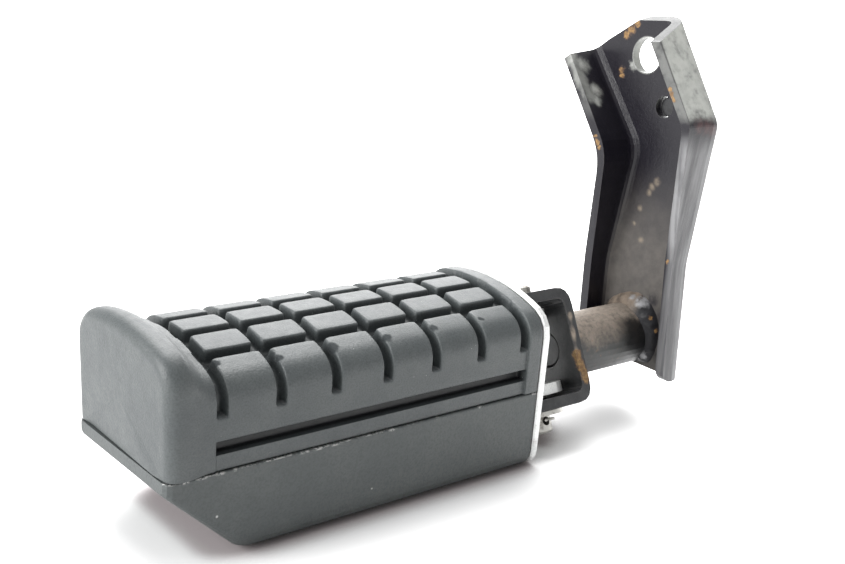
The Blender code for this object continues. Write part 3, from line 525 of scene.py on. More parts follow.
@dataclass(frozen=True)
class ClevisPaint:
    """The hanger's paint on the folded strip, worn through along the edges and rusted on one of them."""

    colour: Colour = (0.019, 0.020, 0.022)
    greyed: Colour = (0.042, 0.043, 0.043)
    worn: Colour = (0.13, 0.125, 0.118)
    tan: Colour = (0.40, 0.33, 0.26)
    rust_spots: Spots = ((-38.6, -13.9, -75.6, 1.0), (-38.2, -15.0, -77.9, 1.3), (-40.0, 8.0, -66.0, 1.6))
    wear_line: Line = ((-37.9, -8.8, -65.5), (-38.5, -13.7, -75.2))
    rust_line: Line = ((-38.4, -13.9, -75.7), (-37.5, -17.2, -82.2))

    def make(self) -> Material:
        """Builds the material.

        Returns:
            The material.
        """
        shader = Shader("clevis_paint", self.colour)
        mottle = shader.noise(0.0040, 5.0, 0.62)
        shader.lay(mottle.rise(0.38, 0.74) * 0.7, self.greyed)
        worn = shader.edges(0.0009).rise(0.05, 0.28) * shader.noise(0.0024, 5.0, 0.7).rise(0.38, 0.58)
        shader.lay(worn * 0.7, self.worn)
        line = shader.stripe(self.wear_line, 1.3, 0.12)
        flecks = shader.noise(0.0016, 4.0, 0.7).rise(0.25, 0.60) * 0.6 + 0.4
        shader.lay(line * flecks * 0.75, self.tan)
        golden = shader.stripe(self.rust_line, 2.2, 0.5)
        eaten = shader.rust(golden | shader.near(self.rust_spots, 0.5))
        roughness = 0.38 + eaten * 0.40 + (mottle - 0.5) * 0.3
        normal = shader.bump(shader.noise(0.0006, 3.0), 0.00005, shader.bump(mottle, 0.00016))
        return shader.close(Roughness=roughness, Normal=normal)


@dataclass(frozen=True)
class BarPaint:
    """Thin paint on the stub bar, brown on top with dust and partly painted light, and with painted shade below it by
    the hanger's weld.
    """

    colour: Colour = (0.052, 0.053, 0.052)
    brown: Colour = (0.34, 0.285, 0.235)
    rust: Colour = (0.22, 0.13, 0.065)
    shade_black: Colour = (0.006, 0.006, 0.007)
    spigot: Colour = (0.020, 0.021, 0.022)
    upper_side: Span = (-0.0775, -0.0695)
    lower_side: Span = (-0.0685, -0.0725)
    by_hanger: Span = (-0.0190, -0.0120)
    inner_end: Span = (-0.0355, -0.0358)

    def make(self) -> Material:
        """Builds the material.

        Returns:
            The material.
        """
        shader = Shader("tube_paint", self.colour)
        along, height = shader.axis("X"), shader.axis("Z")
        cloud = shader.noise(0.0065, 5.0, 0.65)
        fine = shader.noise(0.0014, 4.0, 0.7)
        # Brown on top: dust, and partly painted light on the upper side.
        top = (height + (cloud - 0.5) * 0.014).rise(*self.upper_side)
        shader.lay(top * (fine.rise(0.24, 0.64) * 0.55 + 0.40), self.brown)
        shader.lay(fine.rise(0.58, 0.74) * 0.35, self.rust)
        # Painted shade on the lower side, towards the hanger.
        below = (height + (cloud - 0.5) * 0.010).rise(*self.lower_side)
        shaded_below = (along + (cloud - 0.5) * 0.014).rise(*self.by_hanger) * below
        shader.lay(shaded_below * 0.92, self.shade_black)
        inner_end = along.rise(*self.inner_end)
        shader.lay(inner_end, self.spigot)
        roughness = 0.60 - shaded_below * 0.18 - inner_end * 0.16 + (cloud - 0.5) * 0.3
        normal = shader.bump(fine, 0.00007, shader.bump(cloud, 0.00020))
        return shader.close(Roughness=roughness, Normal=normal)


@dataclass(frozen=True)
class WeldMetal:
    """Painted-over weld: dark and glossy, with painted highlights on its bead and a little rust."""

    colour: Colour = (0.012, 0.012, 0.014)
    # The grey of the painted highlights.
    drops: Colour = (0.36, 0.36, 0.37)
    brown: Colour = (0.20, 0.160, 0.125)
    weld_highlights: Spots = (
        (-4.5, -7.4, -66.4, 3.0), (-4.5, -3.8, -66.6, 1.8), (-5.2, -11.2, -83.0, 1.8),
    )
    rust_spots: Spots = ((-4.5, -11.3, -70.6, 1.1), (-3.8, -14.0, -74.0, 1.2))
    upper_side: Span = (-0.0730, -0.0690)
    back_half: Span = (-0.0085, -0.0050)

    def make(self) -> Material:
        """Builds the material.

        Returns:
            The material.
        """
        shader = Shader("weld_metal", self.colour)
        cloud = shader.noise(0.0026, 4.0, 0.6)
        browned = shader.axis("Z").rise(*self.upper_side) * shader.axis("Y").rise(*self.back_half)
        shader.lay(browned * (cloud.rise(0.25, 0.60) * 0.5 + 0.4), self.brown)
        # Painted highlights on the bead, grey and a little metallic.
        highlight = shader.near(self.weld_highlights, 0.8) * cloud.rise(0.28, 0.54)
        shader.lay(highlight * 0.85, self.drops)
        shader.rust(shader.near(self.rust_spots, 0.5))
        roughness = 0.50 - highlight * 0.16 + (cloud - 0.5) * 0.3
        normal = shader.bump(shader.noise(0.0010, 3.0), 0.00012)
        return shader.close(Roughness=roughness, Metallic=highlight * 0.5, Specular_IOR_Level=0.25, Normal=normal)


@dataclass(frozen=True)
class BareCasting:
    """Bare cast aluminium: pale and matt, with a fine sand grain and grey stains."""

    colour: Colour = (0.66, 0.67, 0.66)
    stain: Colour = (0.34, 0.34, 0.33)

    def make(self) -> Material:
        """Builds the material.

        Returns:
            The material.
        """
        shader = Shader("bare_casting", self.colour)
        cloud = shader.noise(0.0060, 5.0, 0.65)
        sand = shader.noise(0.00050, 3.0)
        shader.lay(cloud.rise(0.52, 0.72) * 0.55, self.stain)
        shader.lay(sand.rise(0.50, 0.22) * 0.60, self.stain)
        roughness = 0.46 + (cloud - 0.5) * 0.3
        normal = shader.bump(sand, 0.00009, shader.bump(cloud, 0.00018))
        return shader.close(Roughness=roughness, Metallic=0.75, Normal=normal)


@dataclass(frozen=True)
class ZincPlate:
    """Zinc plating gone dull, with dark spots."""

    name: str
    colour: Colour = (0.50, 0.49, 0.46)
    spots: Colour = (0.13, 0.11, 0.09)
    darkening: float = 0.6

    def make(self) -> Material:
        """Builds the material.

        Returns:
            The material.
        """
        shader = Shader(self.name, self.colour)
        cloud = shader.noise(0.0022, 5.0, 0.7)
        darkened = cloud.rise(0.48, 0.66) * self.darkening
        shader.lay(darkened, self.spots)
        roughness = 0.36 + darkened * 0.35
        normal = shader.bump(shader.noise(0.0004, 3.0), 0.00003)
        return shader.close(Roughness=roughness, Metallic=0.9 - darkened * 0.6, Normal=normal)


class Way(Enum):
    """The two ways along the peg, by the sign of X."""

    OUTBOARD = -1
    INBOARD = 1


class Side(Enum):
    """The two halves of the pad's form, by the sign of Y."""

    FRONT = -1
    BACK = 1

    @classmethod
    def of(cls, across: float) -> "Side":
        """The half on which a place across the pad lies."""
        return cls.BACK if across > 0 else cls.FRONT


@dataclass(frozen=True)
class HalfForm:
    """One half of the pad's outer form: a crown, a shoulder and an upright side.

    Places on it are given by their distance along the skin from the pad's middle plane.
    """

    side: Side
    half_width: float
    top: float
    crown_radius: float
    crown_middle: float
    shoulder: float
    seam: float = -0.85 * MM

    @cached_property
    def crown_across(self) -> float:
        """Where the crown's centre lies, measured towards this side."""
        return self.side.value * self.crown_middle

    @cached_property
    def start(self) -> float:
        """The crown's angle at the middle plane."""
        return asin(-self.crown_across / self.crown_radius)

    @cached_property
    def turn(self) -> float:
        """The angle at which the crown meets the shoulder."""
        return asin((self.half_width - self.shoulder - self.crown_across) / (self.crown_radius - self.shoulder))

    @cached_property
    def shoulder_height(self) -> float:
        """The height of the shoulder's centre."""
        return self.top - self.crown_radius + (self.crown_radius - self.shoulder) * cos(self.turn)

    @cached_property
    def crown_length(self) -> float:
        """The crown's length along the skin."""
        return self.crown_radius * (self.turn - self.start)

    @cached_property
    def round_length(self) -> float:
        """The length along the skin of crown and shoulder together."""
        return self.crown_length + self.shoulder * (pi / 2 - self.turn)

    @cached_property
    def full_length(self) -> float:
        """The length along the skin down to the seam."""
        return self.to_height(self.seam)

    def to_height(self, height: float) -> float:
        """The distance along the skin to a height on the upright side."""
        return self.round_length + self.shoulder_height - height

    def at(self, distance: float) -> tuple[Vector, Vector]:
        """Finds a place on the skin.

        Args:
            distance: The distance along the skin.

        Returns:
            The place and the outward direction, each as (towards the side, up).
        """
        if distance <= self.crown_length:
            angle = self.start + distance / self.crown_radius
            centre = Vector((self.crown_across, self.top - self.crown_radius))
            radius = self.crown_radius
        else:
            angle = min(self.turn + (distance - self.crown_length) / self.shoulder, pi / 2)
            centre = Vector((self.half_width - self.shoulder, self.shoulder_height))
            radius = self.shoulder
        out = Vector((sin(angle), cos(angle)))
        place = centre + out * radius
        place.y -= max(distance - self.round_length, 0.0)
        return place, out

    def matching(self, distance: float, base: "HalfForm") -> float:
        """The distance on this form that matches one on another, stretch by stretch.

        Args:
            distance: The distance on the base form.
            base: The base form.

        Returns:
            The distance on this form.
        """
        if distance <= base.crown_length:
            return distance * self.crown_length / base.crown_length
        if distance <= base.round_length:
            part = (distance - base.crown_length) / (base.round_length - base.crown_length)
            return self.crown_length + part * (self.round_length - self.crown_length)
        part = (distance - base.round_length) / (base.full_length - base.round_length)
        return self.round_length + part * (self.full_length - self.round_length)


def box_reach(place: Pair, middle: Pair, half: Pair, corner: float) -> float:
    """The distance from a place to a rectangle with round corners, less than 0 inside it."""
    wide, long = (abs(place[k] - middle[k]) - half[k] + corner for k in range(2))
    return hypot(max(wide, 0.0), max(long, 0.0)) + min(max(wide, long), 0.0) - corner


def on_curve(curve: Sequence[Pair], place: float) -> float:
    """Reads a value off a curve.

    Args:
        curve: (place, value) pairs, from the highest place to the lowest.
        place: Where to read.

    Returns:
        The value there.
    """
    if place >= curve[0][0]:
        return curve[0][1]
    for (high, first), (low, second) in zip(curve, curve[1:]):
        if place >= low:
            return second + (first - second) * (place - low) / (high - low)
    return curve[-1][1]


def filled(stations: Sequence[float], step: float) -> list[float]:
    """Sorts stations and fills the wide gaps between them.

    Args:
        stations: The stations.
        step: The widest gap that may stay.

    Returns:
        All stations, in order, without close doubles.
    """
    ordered = sorted(stations)
    made = [ordered[0]]
    for place in ordered[1:]:
        gap = place - made[-1]
        if gap < CLOSE_STATIONS:
            continue
        parts = max(1, round(gap / step + ROUND_UP))
        last = made[-1]
        made += [last + gap * (k + 1) / parts for k in range(parts)]
    return made


def smooth_share(value: float) -> float:
    """A smooth step of a number from 0 to 1."""
    value = min(max(value, 0.0), 1.0)
    return value * value * (3 - 2 * value)


def new_piece(
    name: str,
    points: Sequence[Place | Vector],
    faces: Sequence[Sequence[int]],
    finish: Material,
    sharp: float = MOULDED_EDGE,
) -> Piece:
    """Makes a piece from points and faces, smooth but for its sharp edges.

    Args:
        name: The piece's name.
        points: Its points.
        faces: Its faces, as numbers of points.
        finish: Its material.
        sharp: The angle from which an edge stays sharp.

    Returns:
        The piece.
    """
    mesh = bpy.data.meshes.new(name)
    mesh.from_pydata([tuple(point) for point in points], [], [tuple(face) for face in faces])
    mesh.update()
    mesh.shade_smooth()
    mesh.set_sharp_from_angle(angle=sharp)
    mesh.materials.append(finish)
    made = bpy.data.objects.new(name, mesh)
    bpy.context.scene.collection.objects.link(made)
    log.info("%s: %d points, %d faces", name, len(points), len(faces))
    return made


def lofted(
    name: str,
    rows: Sequence[Sequence[Vector]],
    finish: Material,
    sharp: float = MOULDED_EDGE,
    closed: bool = False,
) -> Piece:
    """Makes a piece from a row of loops, with its two ends capped unless they join.

    Args:
        name: The piece's name.
        rows: The loops, each with the same number of points.
        finish: Its material.
        sharp: The angle from which an edge stays sharp.
        closed: Whether the last loop joins the first.

    Returns:
        The piece.
    """
    count, total = len(rows[0]), len(rows)
    faces: list[Sequence[int]] = []
    for row in range(total if closed else total - 1):
        below = (row + 1) % total
        for i in range(count):
            j = (i + 1) % count
            faces.append((row * count + i, below * count + i, below * count + j, row * count + j))
    if not closed:
        last = total * count - 1
        faces += [range(count), range(last, last - count, -1)]
    return new_piece(name, [point for row in rows for point in row], faces, finish, sharp)


@dataclass
class TreadPad:
    """The moulded pad: 24 blocks on a crown, a raised outboard lip, an inboard rim and a groove on each side."""

    finish: Material
    length: float = 109.8 * MM
    outer_end: float = PEG_NOSE
    first_slot: float = 13.2 * MM
    slot_pitch: float = 15.06 * MM
    slots: int = 7
    slot_half: float = 1.35 * MM
    slot_foot: float = 11.7 * MM
    grooves: tuple[float, ...] = (-11.3 * MM, -1.1 * MM, 9.1 * MM)
    groove_half: float = 1.4 * MM
    side_groove: Pair = (3.0 * MM, 6.2 * MM)
    lip_edge: float = 3.0 * MM
    lip_steps: int = 9
    lip_crest: float = 4.2 * MM
    rim_edge: float = 0.8 * MM
    rim_steps: int = 4
    end_lean: float = 0.030
    end_slant: float = NOSE_SLANT
    ring_middle: float = 12.0 * MM
    ring_shares: tuple[float, ...] = (0.02, 0.3, 0.6, 0.85, 0.96)
    pocket_half: float = 11.3 * MM
    pocket_top: float = 9.2 * MM
    pocket_start: float = 15.0 * MM
    step: float = 1.1 * MM
    slot_corner: float = 0.55 * MM
    groove_corner: float = 0.2 * MM
    side_corner: float = 0.12 * MM
    edge_reach: float = 1.5 * MM
    edge_blend: float = 1.0 * MM
    wander_rate: float = 900.0
    wander_depth: float = 0.05 * MM
    tear_depth: float = 0.32 * MM
    tear_middle: Pair = (-14.2 * MM, 2.0 * MM)
    tear_size: Pair = (1.6 * MM, 1.3 * MM)
    strip_depth: float = 0.22 * MM
    strip_fade: Pair = (0.35 * MM, 0.5 * MM)
    lip_foot: float = 0.9 * MM
    rim_fade: float = 0.3 * MM
    seam_turn: float = 0.5 * MM
    seam_depth: float = 0.25 * MM
    block_wall: tuple[Pair, ...] = (
        (0.55 * MM, 0.0), (0.36 * MM, 0.03 * MM), (0.20 * MM, 0.11 * MM), (0.08 * MM, 0.26 * MM),
        (0.01 * MM, 0.50 * MM), (-0.05 * MM, 1.10 * MM), (-0.14 * MM, 2.50 * MM), (-0.24 * MM, 3.05 * MM),
        (-0.50 * MM, 3.45 * MM), (-0.85 * MM, 3.60 * MM),
    )
    side_wall: tuple[Pair, ...] = (
        (0.34 * MM, 0.0), (0.16 * MM, 0.05 * MM), (0.04 * MM, 0.22 * MM), (-0.02 * MM, 0.55 * MM),
        (-0.10 * MM, 2.10 * MM), (-0.24 * MM, 2.75 * MM), (-0.50 * MM, 3.00 * MM),
    )
    body: dict[Side, HalfForm] = field(init=False)
    lip: dict[Side, HalfForm] = field(init=False)
    rim: dict[Side, HalfForm] = field(init=False)

    def __post_init__(self) -> None:
        """Works out the three forms that the skin follows, from their sizes in millimetres."""
        # Half width, top, crown's radius, crown's middle and shoulder.
        sizes = {
            "body": (21.0, 25.0, 56.0, 4.2, 7.0),
            "lip": (22.2, 29.6, 62.0, 1.0, 8.5),
            "rim": (21.6, 25.6, 56.6, 4.2, 7.6),
        }
        for name, values in sizes.items():
            setattr(self, name, {side: HalfForm(side, *(value * MM for value in values)) for side in Side})

    @property
    def slot_start(self) -> float:
        """Where the first cross slot starts."""
        return self.first_slot - self.slot_half

    @property
    def slot_end(self) -> float:
        """Where the last cross slot ends."""
        return self.first_slot + (self.slots - 1) * self.slot_pitch + self.slot_half

    @property
    def tread(self) -> Pair:
        """The middle and half length of the part with slots."""
        return (self.slot_start + self.slot_end) / 2, (self.slot_end - self.slot_start) / 2

    @cached_property
    def feet(self) -> dict[Side, float]:
        """Where the slots end on each side, along the skin."""
        return {side: self.body[side].to_height(self.slot_foot) for side in Side}

    def across_stations(self) -> list[float]:
        """The places across the pad at which the skin is sampled.

        Returns:
            The places along the skin, in order, less than 0 on the front half.
        """
        stations = [0.0]
        for middle in self.grooves:
            for reach, _ in self.block_wall:
                stations += [middle - self.groove_half - reach, middle + self.groove_half + reach]
        for side in Side:
            form = self.body[side]
            own = [self.feet[side] + reach for reach, _ in self.block_wall]
            low, high = (form.to_height(height) for height in self.side_groove)
            for reach, _ in self.side_wall:
                own += [high - reach, low + reach]
            end = form.full_length
            own += [end - 0.6 * MM, end - 0.25 * MM, end]
            stations += [side.value * place for place in own]
        return filled(stations, self.step)

    def along_stations(self) -> list[Pair]:
        """The places along the pad at which the skin is sampled.

        Returns:
            The places in order, each with how far the edge is drawn in there.
        """
        stations = []
        for k in range(self.lip_steps):
            angle = pi / 2 * k / self.lip_steps
            stations.append((self.lip_edge * (1 - cos(angle)), self.lip_edge * (1 - sin(angle))))
        inner = [self.lip_edge, self.lip_crest, self.pocket_start - 0.05 * MM, self.pocket_start]
        for n in range(self.slots):
            middle = self.first_slot + n * self.slot_pitch
            for reach, _ in self.block_wall:
                inner += [middle - self.slot_half - reach, middle + self.slot_half + reach]
        end = self.length - self.rim_edge
        stations += [(place, 0.0) for place in filled([*inner, end], self.step)]
        for k in range(1, self.rim_steps + 1):
            angle = pi / 2 * k / self.rim_steps
            stations.append((end + self.rim_edge * sin(angle), self.rim_edge * (1 - cos(angle))))
        return stations

    def block_depth(self, across: float, along: float) -> float:
        """How deep the tread's slots and grooves are at a place. Their edges wander, and more where they are torn.

        Args:
            across: The place across, along the skin.
            along: The place along the pad.

        Returns:
            The depth.
        """
        nearest = min(max(round((along - self.first_slot) / self.slot_pitch), 0), self.slots - 1)
        slot_middle = self.first_slot + nearest * self.slot_pitch
        middle_across = (self.feet[Side.BACK] - self.feet[Side.FRONT]) / 2
        half_across = (self.feet[Side.BACK] + self.feet[Side.FRONT]) / 2
        slot = box_reach((across, along), (middle_across, slot_middle), (half_across, self.slot_half), self.slot_corner)
        groove_middle = min(self.grooves, key=lambda place: abs(place - across))
        tread_middle, tread_half = self.tread
        long_half = (self.groove_half, tread_half)
        groove = box_reach((across, along), (groove_middle, tread_middle), long_half, self.groove_corner)
        overlap = max(self.edge_blend - abs(slot - groove), 0.0) / self.edge_blend
        reach = min(slot, groove) - overlap * overlap * self.edge_blend / 4
        if abs(reach) < self.edge_reach:
            torn_across = (across - self.tear_middle[0]) / self.tear_size[0]
            torn_along = (along - slot_middle - self.tear_middle[1]) / self.tear_size[1]
            wander = self.wander_depth + self.tear_depth * exp(-(torn_across**2) - torn_along**2)
            reach += wander * noise.noise(Vector((across, along, 0.0)) * self.wander_rate)
        return on_curve(self.block_wall, reach)

    def side_depth(self, side: Side, distance: float, along: float) -> float:
        """How deep the side groove, and the low strip below it, are at a place.

        Args:
            side: The half of the pad.
            distance: The distance along the skin.
            along: The place along the pad.

        Returns:
            The depth.
        """
        low, high = (self.body[side].to_height(height) for height in self.side_groove)
        tread_middle, tread_half = self.tread
        middle, half = ((low + high) / 2, tread_middle), ((low - high) / 2, tread_half)
        groove = on_curve(self.side_wall, box_reach((distance, along), middle, half, self.side_corner))
        inside = smooth_share((tread_half - abs(along - tread_middle)) / self.strip_fade[0] + 0.5)
        strip = self.strip_depth * inside * smooth_share((distance - middle[0]) / self.strip_fade[1])
        return max(groove, strip)

    def sunk(self, across: float, along: float) -> float:
        """How deep the skin is sunk at a place, by any slot or groove.

        Args:
            across: The place across, along the skin, less than 0 on the front half.
            along: The place along the pad.

        Returns:
            The depth.
        """
        if along < self.slot_start - self.edge_reach:
            return 0.0
        return max(self.block_depth(across, along), self.side_depth(Side.of(across), abs(across), along))

    def shade_depth(self, across: float, sunk: float) -> float:
        """The depth at which a slot would be as dark as this place, for the painted shade: the side grooves get three
        times as much.
        """
        return sunk * (3 if abs(across) > self.feet[Side.of(across)] + 0.5 * MM else 1)

    def skin_point(self, across: float, along: float, inset: float, sunk: float) -> Vector:
        """One point of the skin, in the part's frame.

        Args:
            across: The place across, along the skin, less than 0 on the front half.
            along: The place along the pad.
            inset: How far the edge is drawn in.
            sunk: How deep the skin is sunk there.

        Returns:
            The point.
        """
        side, distance = Side.of(across), abs(across)
        base = self.body[side]
        place, out = base.at(distance)
        lip_share = smooth_share(1 - (along - self.lip_crest) / (self.slot_start - self.lip_foot - self.lip_crest))
        if lip_share > 0:
            lip = self.lip[side]
            raised, lip_out = lip.at(lip.matching(distance, base))
            place, out = place.lerp(raised, lip_share), out.lerp(lip_out, lip_share).normalized()
        rim_share = smooth_share((along - self.slot_end) / self.rim_fade + 0.5)
        if rim_share > 0:
            rim = self.rim[side]
            raised, _ = rim.at(rim.matching(distance, base))
            place = place.lerp(raised, rim_share)
        turned_in = max(distance - base.full_length + self.seam_turn, 0.0) / self.seam_turn
        depth = sunk + self.seam_depth * turned_in * turned_in
        width, height = place - out * (depth + inset)
        height = max(height, base.seam)
        fade = max(1 - along / self.slot_start, 0.0)
        own_y = side.value * width
        outboard = fade * (self.end_lean * height + self.end_slant * (base.half_width + own_y))
        return Vector((self.outer_end + along - outboard, PIVOT.y + own_y, PIVOT.z + height))

    def underside(self, along: float, x: float) -> list[Vector]:
        """The points that close one section below, with the pocket for bar and insert.

        Args:
            along: The place along the pad.
            x: The section's place along X.

        Returns:
            The points, from the back to the front.
        """
        level = PIVOT.z + self.body[Side.FRONT].seam
        top = PIVOT.z + self.pocket_top if along >= self.pocket_start else level
        half, foot = self.pocket_half, self.pocket_half + 4 * MM
        corners = ((foot, level), (half, level), (half, top), (-half, top), (-half, level), (-foot, level))
        return [Vector((x, PIVOT.y + y, z)) for y, z in corners]

    def build(self) -> Piece:
        """Builds the pad, with how deep its skin is, weighted for the painted shade, as an attribute.

        Returns:
            The piece.
        """
        columns = self.across_stations()
        rows, darkening = [], []
        for along, inset in self.along_stations():
            sunk = [self.sunk(across, along) for across in columns]
            row = [self.skin_point(across, along, inset, depth) for across, depth in zip(columns, sunk)]
            below = self.underside(along, (row[0].x + row[-1].x) / 2)
            rows.append(row + below)
            # Depths weighted for the painted shade in the slots and grooves.
            darkening += [self.shade_depth(across, depth) for across, depth in zip(columns, sunk)] + [0.0] * len(below)
        pad = lofted("moulded_pad", self.end_rings(rows[0]) + rows, self.finish)
        layer = pad.data.attributes.new("sunk", "FLOAT", "POINT")
        layer.data.foreach_set("value", [0.0] * (len(layer.data) - len(darkening)) + darkening)
        return pad

    def end_rings(self, edge: list[Vector]) -> list[list[Vector]]:
        """The end face, as loops that close towards its middle.

        Args:
            edge: The end face's outline.

        Returns:
            The loops, the smallest first.
        """
        middle = sum(edge, Vector()) / len(edge)
        middle.z = PIVOT.z + self.ring_middle
        return [[middle.lerp(point, share) for point in edge] for share in self.ring_shares]


@dataclass
class BarWeld:
    """A fillet of weld round the stub bar, laid drop by drop."""

    name: str
    finish: Material
    face: float
    way: Way
    leg: float
    blob: float = 0.0
    blob_angle: float = radians(118)
    ends: Pair = (0.0, tau)
    bar_radius: float = 9.5 * MM
    drops: int = 19
    uneven: float = 0.22
    ripple: float = 0.04
    wander: float = 0.16
    fade: float = radians(22)
    steps: int = 240
    profile_steps: int = 9

    def phase(self, angle: float) -> float:
        """How far round the drops are at an angle, a full turn for each drop and in unequal steps."""
        shift = noise.noise(Vector((cos(angle), sin(angle), self.face * 40)) * 2.0)
        return self.drops * (angle + self.uneven * shift)

    def leg_at(self, angle: float) -> float:
        """The weld's size at an angle round the bar.

        Args:
            angle: The angle, 0 towards +Y and a quarter turn up.

        Returns:
            The length of its leg.
        """
        ripple = self.ripple * abs(sin(self.phase(angle) / 2))
        wander = self.wander * noise.noise(Vector((cos(angle), sin(angle), self.face * 90)) * 2.3)
        size = self.leg * (0.93 + ripple + wander)
        size += self.blob * max(cos(angle - self.blob_angle), 0.0) ** 4
        start, end = self.ends
        if end - start < tau:
            size *= smooth_share(min(angle - start, end - angle) / self.fade) * 0.9 + 0.1
        return size

    def section(self, angle: float) -> list[Vector]:
        """The weld's section at an angle, a closed loop.

        Args:
            angle: The angle round the bar.

        Returns:
            The loop's points.
        """
        leg = self.leg_at(angle)
        loop = [(self.bar_radius - 0.1 * MM, -0.1 * MM)]
        for k in range(self.profile_steps):
            part = k / (self.profile_steps - 1)
            lag = 0.35 * (0.5 - abs(part - 0.5)) * tau / self.drops
            crown = 0.16 + 0.035 * cos(self.phase(angle - lag))
            bulge = sin(pi * part) * crown * leg * 0.7
            loop.append((self.bar_radius + leg * part + bulge, leg * (1 - part) + bulge))
        return [
            Vector((self.face + self.way.value * height, PIVOT.y + radius * cos(angle), PIVOT.z + radius * sin(angle)))
            for radius, height in loop
        ]

    def build(self) -> Piece:
        """Builds the weld.

        Returns:
            The piece.
        """
        start, end = self.ends
        whole = end - start >= tau
        count = self.steps if whole else self.steps + 1
        rows = [self.section(start + (end - start) * k / self.steps) for k in range(count)]
        if self.way is Way.OUTBOARD:
            rows = [row[::-1] for row in rows]
        return lofted(self.name, rows, self.finish, ROUNDED_EDGE, whole)


@dataclass
class SplitPin:
    """The split pin: half-round wire folded on itself, with an eye behind and two legs turned apart in front."""

    finish: Material
    height: float = -19.6 * MM
    wire: float = 0.9 * MM
    shank: float = 4.0 * MM
    eye: float = 1.6 * MM
    eye_rise: float = 2.6 * MM
    eye_start: float = 1.27 * pi
    eye_turn: float = 1.54 * pi
    leg: float = 1.7 * MM
    sides: int = 10
    eye_steps: int = 16

    def build(self) -> Piece:
        """Builds the pin in the hinge's leaning frame.

        Returns:
            The piece.
        """
        apart = self.wire / 2 + 0.02 * MM
        half = [
            (apart, self.shank),
            (apart, 0.0),
            (apart, -self.shank),
            (apart + 0.15 * MM, -self.shank - 0.4 * MM),
            (apart + 0.55 * MM, -self.shank - 1.0 * MM),
            (self.leg, -self.shank - self.leg),
        ]
        route = [(-x, y) for x, y in reversed(half)]
        for k in range(self.eye_steps + 1):
            angle = self.eye_start - self.eye_turn * k / self.eye_steps
            route.append((self.eye * cos(angle), self.shank + self.eye_rise + self.eye * sin(angle)))
        route += half
        lean = Matrix.Translation(PIVOT) @ Matrix.Rotation(-PIN_LEAN, 4, "X")
        turns = [(cos(tau * k / self.sides), sin(tau * k / self.sides)) for k in range(self.sides)]
        rows = []
        for index, (x, y) in enumerate(route):
            before, after = route[max(index - 1, 0)], route[min(index + 1, len(route) - 1)]
            along = Vector((after[0] - before[0], after[1] - before[1])).normalized()
            radius = self.wire / 2 * (0.72 if index in (0, len(route) - 1) else 1.0)
            rows.append(
                [
                    lean @ Vector((x - along.y * radius * out, y + along.x * radius * out, self.height + radius * up))
                    for out, up in turns
                ]
            )
        return lofted("split_pin", rows, self.finish, ROUNDED_EDGE)


def dress(node: str, finish: Material) -> None:
    """Gives one of the frame's nodes its finish.

    Args:
        node: The node's name.
        finish: The material.
    """
    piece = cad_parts[node]
    piece.data.materials.clear()
    piece.data.materials.append(finish)
    log.info("%s: dressed in %s", node, finish.name)


def settle(piece: Piece, body: str, slot: str, *nodes: str) -> None:
    """Lets a new piece ride on its body in the place of the nodes that it stands for.

    Args:
        piece: The piece.
        body: The body's name.
        slot: The record's material slot; not used.
        *nodes: The nodes that it replaces.
    """
    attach(piece, body)
    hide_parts(*nodes)
    log.info("%s: rides on %s in the place of %s", piece.name, body, ", ".join(nodes))


@dataclass
class Hanger:
    """The fixed side: channel, stub bar, clevis, their welds and the pin."""

    channel_face: float = -3.0 * MM
    channel_leg: float = 2.5 * MM
    channel_blob: float = 1.7 * MM
    channel_ends: Pair = (radians(-58), radians(238))
    clevis_face: float = -36.0 * MM
    clevis_leg: float = 1.7 * MM

    def build(self) -> None:
        """Dresses the hanger's solids and adds its welds and split pin."""
        zinc, weld = ZincPlate("dull_zinc").make(), WeldMetal().make()
        dress("hanger_channel", HangerPaint().make())
        dress("stub_tube", BarPaint().make())
        dress("clevis", ClevisPaint().make())
        # Near black: the plug stands in for the dark inside of the hole, painted shade.
        dress("hole_plug", ZincPlate("dark_plug", (0.05, 0.05, 0.052), (0.02, 0.02, 0.02)).make())
        for node in ("pivot_pin", "pivot_washer", "wave_washer"):
            dress(node, zinc)
        at_channel = BarWeld(
            "weld_at_hanger",
            weld,
            self.channel_face,
            Way.OUTBOARD,
            self.channel_leg,
            self.channel_blob,
            ends=self.channel_ends,
        )
        settle(at_channel.build(), "hanger", "weld_steel", "weld_bead_hanger")
        at_clevis = BarWeld("weld_at_clevis", weld, self.clevis_face, Way.INBOARD, self.clevis_leg)
        settle(at_clevis.build(), "hanger", "weld_steel", "weld_bead_clevis")
        settle(SplitPin(zinc).build(), "hanger", "zinc_steel", "cotter_pin")


